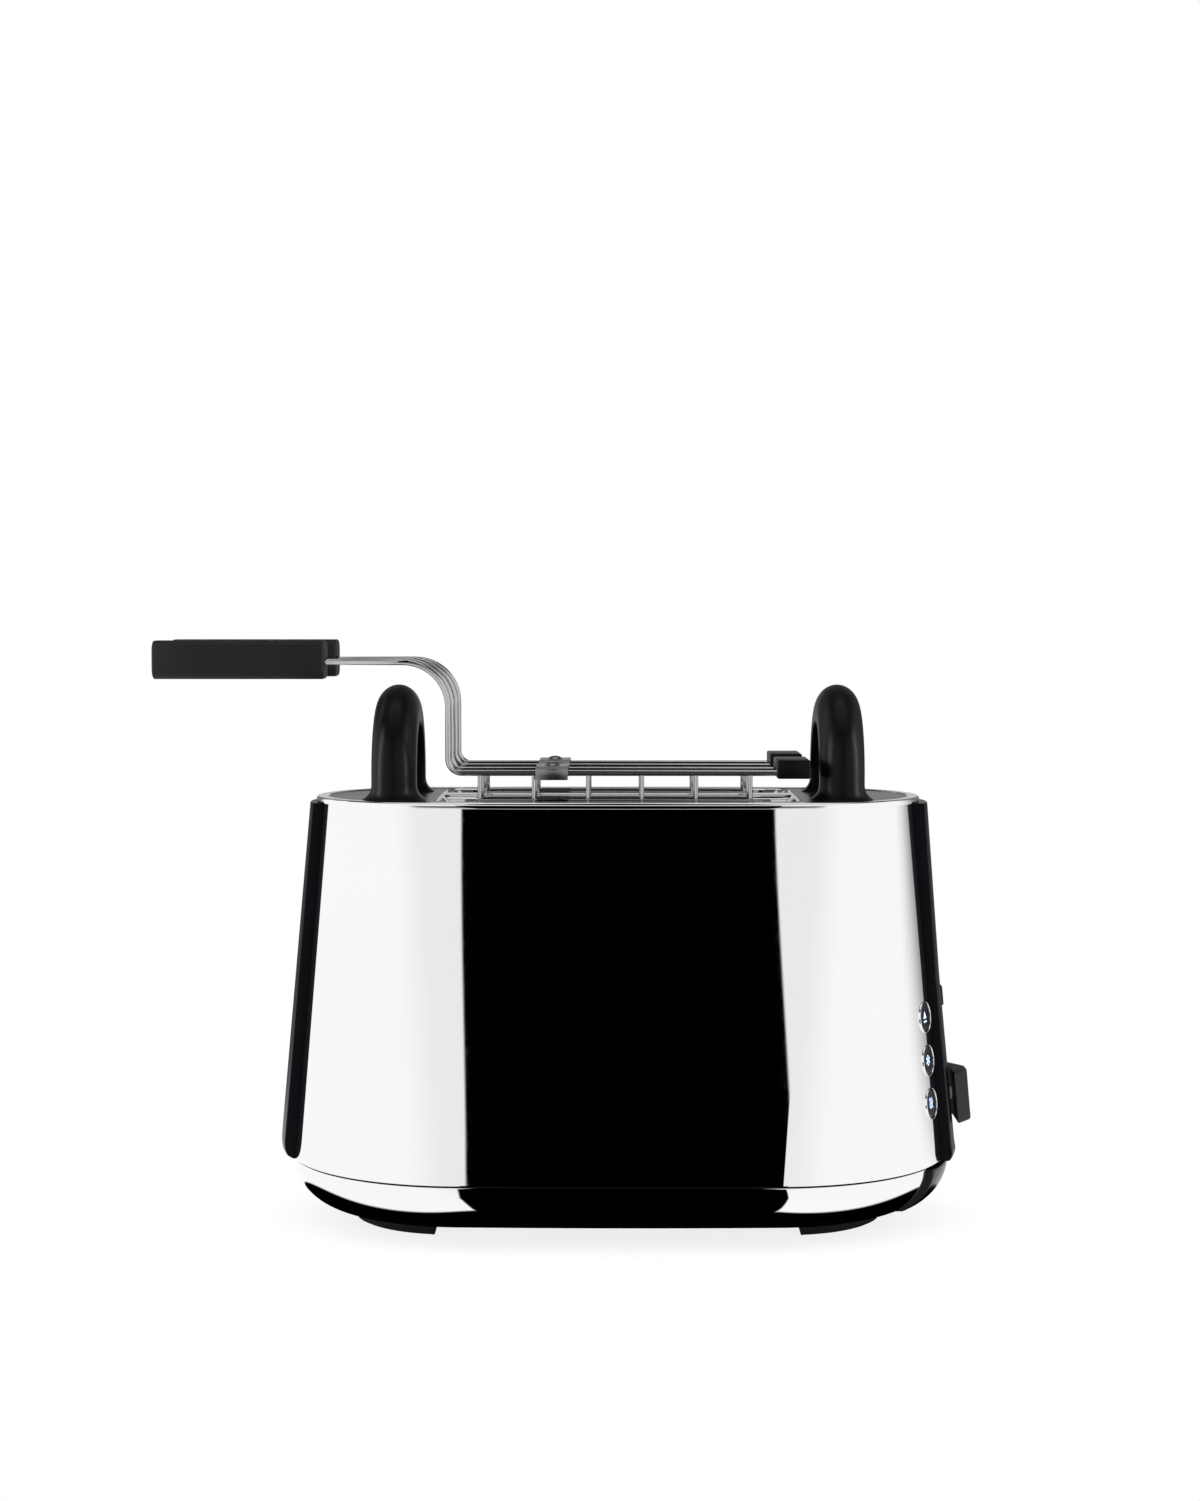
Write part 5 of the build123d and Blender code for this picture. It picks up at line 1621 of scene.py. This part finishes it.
@dataclass
class SandwichRack:
    """One rack: a fixed grid in a handle, a jaw grid that turns on a pin, and the sliding clip."""

    side: Side
    slot_y: float = 25.0
    rail: float = 1.3
    rail_z: float = 201.0
    rail_end: float = 80.0
    wire_half: float = 11.5
    gather: float = 4.5
    arm_z: float = 249.0
    arm_from: float = -162.0
    spread_from: float = -122.0
    spread_to: float = -100.0
    drop_x: float = -73.6
    bends: tuple[float, ...] = (20.0, 20.0, 19.5, 6.0)
    grid: float = 0.9
    grid_left: float = -60.0
    grid_pitch: float = 23.5
    grid_columns: int = 6
    grid_levels: tuple[float, ...] = (188.6, 148.0, 108.0)
    grid_low_z: float = 67.2
    hook: float = 5.0
    handle_left: float = -202.6
    handle_right: float = -128.0
    handle_low: float = 241.5
    handle_high: float = 16.8
    handle_thick: float = 19.0
    handle_corner: float = 4.0
    pivot_x: float = -152.0
    eye: float = 2.43
    eye_wire: float = 0.87
    rail_room: float = 0.3
    cap_left: float = 69.0
    cap_right: float = 83.3
    cap_half: float = 15.0
    clip_left: float = -35.7
    clip_right: float = -21.7
    name: str = field(init=False)
    middle: float = field(init=False)

    def __post_init__(self) -> None:
        """Name the rack and find the middle of its slot."""
        self.name = self.side.name.lower()
        self.middle = self.side.value * self.slot_y

    def make_wires(self, jaw: bool) -> None:
        """Build one bent rail wire, from the handle over the grip and along the slot, and its grid.

        Args:
            jaw: the wire that turns on the pin, on the inner side of the slot.
        """
        toward = -self.side.value if jaw else self.side.value
        plane, gather = self.middle + toward * self.wire_half, self.middle + toward * self.gather
        kind, body = ("inner", f"{self.name}_jaw") if jaw else ("outer", f"{self.name}_rack")
        start = self.pivot_x + 2.1 if jaw else self.arm_from
        arm = Workpiece()
        arm.wire([(start, gather, self.arm_z), (self.spread_from, gather, self.arm_z),
                  (self.spread_to, plane, self.arm_z), (self.drop_x, plane, self.arm_z),
                  (self.drop_x, plane, self.rail_z), (self.rail_end, plane, self.rail_z)],
                 self.bends, self.rail, 20)
        if jaw:
            section = [(self.eye + self.eye_wire * cos(radians(turn)), self.rail * sin(radians(turn)))
                       for turn in range(180, -181, -30)]
            arm.spun(section, Matrix.Translation((self.pivot_x, gather, self.arm_z)), 32)
        arm.publish(f"{self.name}_{kind}_rail_wire", body, WIRE_STEEL, replaces=[f"{self.name}_{kind}_arm"])
        mesh = Workpiece()
        for z in self.grid_levels:
            mesh.wire([(self.grid_left - 1.5, plane, z), (self.grid_left + 119.0, plane, z)], [], self.grid)
        for column in range(self.grid_columns):
            x = self.grid_left + self.grid_pitch * column
            mesh.wire([(x, plane, self.rail_z - self.rail + 0.2), (x, plane, self.grid_low_z),
                       (x, plane - toward * self.hook, self.grid_low_z)], [2.5], self.grid, turn_step=12.0)
        mesh.publish(f"{self.name}_{kind}_grid_wires", body, WIRE_STEEL,
                     replaces=[f"{self.name}_{kind}_grid"])

    def make_handle(self) -> None:
        """Build the handle with softly rounded ends and the pocket for its jaw wire, and the pin."""
        half_y, half_z = self.handle_thick / 2, self.handle_high / 2
        mid_z, length = self.handle_low + half_z, self.handle_right - self.handle_left

        def section(x: float, inset: float) -> Plan:
            """The handle's outline at a place along it, drawn in by an amount."""
            flat = rounded_rectangle(half_y - inset, half_z - inset, self.handle_corner - inset * 0.4, 0.0)
            return lambda share: Vector((x, self.middle + flat(share).x, mid_z + flat(share).y))
        ends = [(0.0, 1.0), (0.15, 0.55), (0.45, 0.2), (0.9, 0.0)]
        stations = [(self.handle_left + along, inset) for along, inset in ends]
        stations += [(self.handle_left + length * share, 0.0) for share in (0.25, 0.5, 0.75)]
        stations += [(self.handle_right - along, inset) for along, inset in reversed(ends)]
        piece, pocket, bore, pin, rivet = (Workpiece() for _ in range(5))
        piece.stack([section(*station) for station in stations], 96)
        aside = self.side.value * self.gather
        pivot_y, fixed_y = self.middle - aside, self.middle + aside
        pocket_half, room = 3.9, self.rail + self.rail_room
        pocket.block((self.pivot_x - pocket_half, pivot_y - pocket_half, self.arm_z - room),
                     (self.handle_right + 5, pivot_y + pocket_half, self.arm_z + room), 0.25, 1)
        bore.rod(1.32, 0.0, 60.0, along_x((self.arm_from - 1, fixed_y, self.arm_z)))
        pin.rod(1.52, -12.0, 12.0, Matrix.Translation((self.pivot_x, pivot_y, mid_z)))
        piece.cut(pocket, bore, pin)
        piece.publish(f"{self.name}_handle_grip", f"{self.name}_rack", HANDLE_PLASTIC,
                      replaces=[f"{self.name}_handle"])
        high, radius, edge = self.handle_high, 1.5, 0.15
        rivet.spun([(0.0, 0.0), (1.3, 0.0), (radius, edge), (radius, high - edge), (1.3, high), (0.0, high)],
                   Matrix.Translation((self.pivot_x, pivot_y, self.handle_low)), 32)
        rivet.publish(f"{self.name}_pivot_rivet", f"{self.name}_rack", WIRE_STEEL,
                      replaces=[f"{self.name}_pivot_pin"])

    def make_cap(self) -> None:
        """Build the cap over the rails' free ends, with the room that the jaw swings in."""
        toward = self.side.value
        outer_y, inner_y = self.middle + toward * self.wire_half, self.middle - toward * self.wire_half
        piece, bore, swing = (Workpiece() for _ in range(3))
        piece.block((self.cap_left, self.middle - self.cap_half, 198.6),
                    (self.cap_right, self.middle + self.cap_half, 206.7), 0.7)
        bore.rod(1.33, 0.0, 12.0, along_x((self.cap_left - 1, outer_y, self.rail_z)), 24)
        low_y, high_y = sorted((inner_y - toward * 1.8, inner_y + toward * 12.3))
        room = self.rail + self.rail_room
        swing.block((self.cap_left - 1, low_y, self.rail_z - room),
                    (self.rail_end + 1, high_y, self.rail_z + room))
        piece.cut(bore, swing)
        piece.publish(f"{self.name}_end_cap", f"{self.name}_rack", BLACK_PLASTIC,
                      replaces=[f"{self.name}_tip_cap"])

    def make_clip(self) -> None:
        """Build the sliding clip: a folded sheet over both rails with a pressed dome."""
        roof, half, sheet = self.rail_z + self.rail + 0.3, self.wire_half + self.rail + 1.3, 1.0
        piece, inner = Workpiece(), Workpiece()
        piece.block((self.clip_left, self.middle - half, roof - 4.6),
                    (self.clip_right, self.middle + half, roof + sheet))
        piece.soften(piece.edges_along_x(roof), 1.2, 5)
        inner.block((-38, self.middle - half + sheet, roof - 8), (-19, self.middle + half - sheet, roof))
        piece.cut(inner)
        piece.soften(piece.sharp_edges(60), 0.15, 2)
        dome = [(3.4, -0.05), (3.15, 0.35), (2.7, 0.8), (2.1, 1.15), (1.4, 1.38), (0.7, 1.47), (0.0, 1.5)]
        centre = ((self.clip_left + self.clip_right) / 2, self.middle, roof + sheet)
        piece.spun([(0.0, -0.05), *dome], Matrix.Translation(centre), 40)
        piece.publish(f"{self.name}_clip_folded", f"{self.name}_clip", CLIP_STEEL,
                      replaces=[f"{self.name}_clip"])

    def make(self) -> None:
        """Build the whole rack."""
        self.make_wires(jaw=False)
        self.make_wires(jaw=True)
        self.make_handle()
        self.make_cap()
        self.make_clip()


@dataclass
class Inside:
    """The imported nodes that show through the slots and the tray, dressed as they are."""

    finishes: dict[str, Finish] = field(default_factory=lambda: {
        "chassis_right": ALUMINISED, "chassis_left": ALUMINISED, "heat_shield_front": ALUMINISED,
        "heat_shield_rear": ALUMINISED, "heater_front_outer": MICA, "heater_front_inner": MICA,
        "heater_rear_inner": MICA, "heater_rear_outer": MICA, "heating_ribbons": RIBBON,
        "guard_front": WIRE_STEEL, "guard_rear": WIRE_STEEL, "guide_rod": ZINC, "electromagnet": COIL,
        "return_spring": ZINC, "switch_board": CIRCUIT, "browning_control": TERMINAL,
        "control_board": CIRCUIT, "terminal_block": TERMINAL, "carriage": ALUMINISED,
        "lifter_front": ALUMINISED, "lifter_rear": ALUMINISED, "crumb_tray": ALUMINISED})
    lever_travel: float = 0.072

    def dress(self) -> None:
        """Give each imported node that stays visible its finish."""
        for name, finish in self.finishes.items():
            node = frame["nodes"][name]
            node.data.materials.clear()
            node.data.materials.append(finish.material())
            log.info("%s dressed as %s", name, finish.name)

    def shorten_spring(self) -> None:
        """Give the return spring a mesh of its own."""
        spring = frame["nodes"]["return_spring"]
        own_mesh(spring)


@dataclass(frozen=True)
class Lamp:
    """A rectangular lamp that shines at the part.

    Args:
        name: the lamp's name.
        spot: its place in metres.
        size: its width and height in metres.
        power: its power in watts.
        glints: polished surfaces show it, and only the dark mouldings receive it.
    """

    name: str
    spot: Point
    size: Pair
    power: float
    glints: bool = False


@dataclass
class Studio:
    """Pale floor, soft even light with a dark gap behind the camera, and the camera itself.

    Places and widths are in metres, angles in degrees. An azimuth is nought in front of the part and
    rises to its right; a level is the angle above the floor.
    """

    camera_spot: Point = (-0.00084, -1.13379, 0.26933)
    camera_pitch: float = 3.0557
    camera_yaw: float = 0.3616
    lens: float = 60.80
    aim: Point = (0.0, 0.0, 0.12)
    beside_camera: Pair = (6.0, 42.0)
    backdrop: Pair = (165.0, 169.0)
    fall_right: Pair = (100.0, 142.0)
    fall_left: Pair = (128.0, 142.0)
    back_tone: float = 0.18
    gap_edge: Pair = (7.74, 7.90)
    gap_foot: Pair = (4.0, 6.0)
    backdrop_top: Pair = (9.0, 12.0)
    back_top: Pair = (36.0, 64.0)
    over_level: float = 52.0
    over_edge: Pair = (6.0, 18.0)
    over_tone: float = 0.16
    strip_from: float = 0.080
    strip_x: float = 0.0038
    strip_half: float = 0.064
    strip_spread: float = 0.14
    strip_throat: Pair = (0.030, 0.008)
    part_half: Pair = (0.167, 0.091)
    shadow_half: Pair = (0.150, 0.085)
    shadow_edge: Pair = (0.90, 1.35)
    shadow_tone: float = 0.84
    dark_facing: Pair = (14.0, 26.0)
    dark_near: Pair = (0.28, 0.40)
    dark_far: Pair = (1.3, 1.9)
    dark_depth: float = 0.85
    lamps: tuple[Lamp, ...] = (
        Lamp("soft_left", (-1.25, -0.55, 0.55), (0.5, 1.3), 9.0),
        Lamp("soft_right", (1.25, -0.50, 0.55), (0.5, 1.3), 9.0),
        Lamp("soft_top", (0.0, 0.10, 1.6), (1.4, 0.9), 7.0),
        Lamp("strip_left", (-0.9, -0.16, 0.30), (0.16, 0.9), 5.0, glints=True),
        Lamp("strip_right", (0.9, -0.16, 0.30), (0.16, 0.9), 5.0, glints=True))

    def distance(self, x: Reading, y: Reading, halves: Pair) -> Reading:
        """How far out a place on the floor is, in shares of an ellipse's half widths."""
        return ((x / halves[0]) ** 2.0 + (y / halves[1]) ** 2.0).math("SQRT")

    def surround(self, azimuth: Reading) -> tuple[Reading, Reading, Reading]:
        """How light the white walls are in a direction.

        Args:
            azimuth: the direction.

        Returns:
            The greyer tone beside the camera, the fall to the back of the room, and the light
            backdrop straight behind.
        """
        turn = abs(azimuth)
        near = turn.arc(self.beside_camera, 0.88, 1.0)
        drop = turn.arc(self.backdrop, 0.0, 0.55)
        right = azimuth.arc(self.fall_right, 1.0, self.back_tone)
        left = (-azimuth).arc(self.fall_left, 1.0, self.back_tone)
        return near, left.at_most(right), drop

    def rays(self, tree: bpy.types.NodeTree, *kinds: str) -> list[Reading]:
        """Whether what is shaded is seen by rays of some kinds.

        Args:
            tree: the nodes that ask.
            kinds: the kinds of ray, as in Glossy or Camera.

        Returns:
            A reading for each kind, 1 for yes.
        """
        light = add_node(tree, "LightPath")
        return [Reading(tree, light.outputs[f"Is {kind} Ray"]) for kind in kinds]

    def make_world(self) -> None:
        """White all round; polished surfaces also see the dark gap in front and a grey back wall."""
        world = bpy.data.worlds.new("studio_world")
        bpy.context.scene.world = world
        world.use_nodes = True
        tree = world.node_tree
        tree.nodes.clear()
        x, y, z = coordinates(tree, "Generated")
        azimuth, level = x.math("ARCTAN2", -y), z.math("ARCSINE")
        away = abs(azimuth + level.arc((7.0, 17.0), -0.011, -0.001))
        gap = away.arc(self.gap_edge, 0.0, 1.0).at_least(level.arc(self.gap_foot, 1.0, 0.0))
        near, behind, drop = self.surround(azimuth)
        low = drop * level.arc(self.backdrop_top, 1.0, 0.0)
        back = behind.at_least(low.at_least(level.arc(self.back_top, 0.0, 1.0)))
        over = abs(level - radians(self.over_level)).arc(self.over_edge, self.over_tone, 1.0)
        seen = gap * near * (back * over)
        glossy, through = self.rays(tree, "Glossy", "Transmission")
        value = add_node(tree, "Mix", {"Factor": glossy.at_least(through), "A": 1.0, "B": seen},
                         data_type="FLOAT")
        background = add_node(tree, "Background", {"Color": WHITE, "Strength": value.outputs["Result"]})
        add_node(tree, "OutputWorld", {"Surface": background.outputs["Background"]})

    def floor_material(self) -> bpy.types.Material:
        """White to the camera but for a soft shadow; polished steel sees the dark gap go on over it, and
        sees a painted shadow, black, under the part.

        Returns:
            The material.
        """
        material = bpy.data.materials.new("pale_floor")
        material.use_nodes = True
        tree = material.node_tree
        shader = tree.nodes["Principled BSDF"]
        feed(tree, shader, {"Base Color": (0.95, 0.95, 0.95, 1.0), "Roughness": 0.9,
                            "Specular IOR Level": 0.0})
        camera, glossy = self.rays(tree, "Camera", "Glossy")
        x, y, _ = coordinates(tree, "Object")
        ahead = y.math("MULTIPLY_ADD", -1.0, -self.strip_from)
        long, wide = self.strip_throat
        throat = ((ahead / long).at_least(0.0) ** 0.5).at_most(1.0)
        half = ahead.at_least(0.0).math("MULTIPLY_ADD", self.strip_spread,
                                        throat.math("MULTIPLY_ADD", wide, self.strip_half))
        inside = (half - abs(x - self.strip_x)).step((0.0, 0.0015), 0.0, 1.0)
        strip = inside * ahead.step((-0.060, -0.050), 0.0, 1.0)
        # painted shadow: under the part the floor is black to glossy rays alone, standing in for the shade
        # beneath the skirt
        under = self.distance(x, y, self.part_half).step((0.97, 1.0), 1.0, 0.0)
        shade = self.distance(x, y, self.shadow_half).step(self.shadow_edge, self.shadow_tone, 1.0)
        azimuth, spread = x.math("ARCTAN2", -y), self.distance(x, y, (1.0, 1.0))
        tone, behind, drop = self.surround(azimuth)
        apart = spread.step(self.dark_near, 0.0, 1.0) * spread.step(self.dark_far, 1.0, 0.0)
        facing = abs(azimuth).arc(self.dark_facing, 1.0, 0.0)
        front = (facing * apart).math("MULTIPLY_ADD", -self.dark_depth, 1.0)
        mirrored = tone * behind.at_least(drop) * front
        strength = (mirrored - 1.0).math("MULTIPLY_ADD", glossy, 1.0)
        white = add_node(tree, "Emission", {"Color": WHITE, "Strength": strength})
        black = add_node(tree, "Emission", {"Color": BLACK})
        lit = add_node(tree, "MixShader", {"Fac": shade * camera.at_least(glossy), 1: shader.outputs["BSDF"],
                                           2: white.outputs["Emission"]})
        seen = add_node(tree, "MixShader", {"Fac": strip.at_least(under) * glossy, 1: lit.outputs["Shader"],
                                            2: black.outputs["Emission"]})
        tree.links.new(seen.outputs["Shader"], tree.nodes["Material Output"].inputs["Surface"])
        return material

    def make_floor(self) -> None:
        """Lay a wide pale floor."""
        bm = bmesh.new()
        bmesh.ops.create_circle(bm, cap_ends=True, radius=6.0, segments=96)
        mesh = bpy.data.meshes.new("floor")
        bm.to_mesh(mesh)
        bm.free()
        floor = in_scene("floor", mesh)
        floor.data.materials.append(self.floor_material())

    def make_lights(self) -> None:
        """Hang the lamps; those with glints shine on the dark mouldings alone."""
        dark = bpy.data.collections.new("dark_mouldings")
        for item in bpy.data.objects:
            finishes = [slot.material.name for slot in item.material_slots if slot.material]
            if item.type == "MESH" and any("plastic" in name for name in finishes):
                dark.objects.link(item)
        for plan in self.lamps:
            data = bpy.data.lights.new(plan.name, "AREA")
            data.shape = "RECTANGLE"
            data.size, data.size_y = plan.size
            data.energy = plan.power
            lamp = in_scene(plan.name, data)
            lamp.location = plan.spot
            lamp.visible_glossy = plan.glints
            if plan.glints:
                lamp.light_linking.receiver_collection = dark
            facing = Vector(self.aim) - Vector(plan.spot)
            lamp.rotation_euler = facing.to_track_quat("-Z", "Y").to_euler()

    def make_camera(self) -> None:
        """Set up the camera at the photograph's viewing angle."""
        data = bpy.data.cameras.new("camera")
        data.lens = self.lens
        data.sensor_width = 36.0
        data.sensor_fit = "AUTO"
        data.clip_end = 30.0
        camera = in_scene("camera", data)
        camera.location = self.camera_spot
        camera.rotation_euler = (radians(90.0 - self.camera_pitch), 0.0, radians(self.camera_yaw))
        bpy.context.scene.camera = camera

    def make(self) -> None:
        """Set up the whole studio, after the part's pieces."""
        bpy.context.scene.view_settings.view_transform = "Standard"
        self.make_world()
        self.make_floor()
        self.make_lights()
        self.make_camera()


def main() -> None:
    """Build every sub-assembly in order."""
    logging.basicConfig(level=logging.INFO, format="%(message)s")
    body = Body()
    under = Underside(body)
    controls = Controls(body)
    body.make_shell([*controls.slot_tools(), *controls.button_tools()])
    body.make_skirt([under.mouth_tool(), under.inlet_tool()])
    body.make_seam(under.mouth_tool())
    body.make_base(under.mouth_tool())
    body.make_ring()
    deck = TopDeck(body)
    deck.make_plate()
    deck.make_trough()
    deck.make_divider()
    grips = Grips()
    panels = EndPanels(body)
    for end in End:
        grips.make(end)
        panels.make(end, controls.slot_tools() if end is End.RIGHT else ())
    controls.make_lever_knob()
    controls.make_slider()
    for symbol, step in ((Symbol.EJECT, 1), (Symbol.DEFROST, 0), (Symbol.REHEAT, -1)):
        controls.make_button(symbol, step)
    controls.make_rings()
    under.make_tray_front()
    under.make_feet()
    under.make_screws()
    under.make_inlet()
    for side in Side:
        SandwichRack(side).make()
    inside = Inside()
    inside.dress()
    inside.shorten_spring()
    Studio().make()


if __name__ == "__main__":
    main()
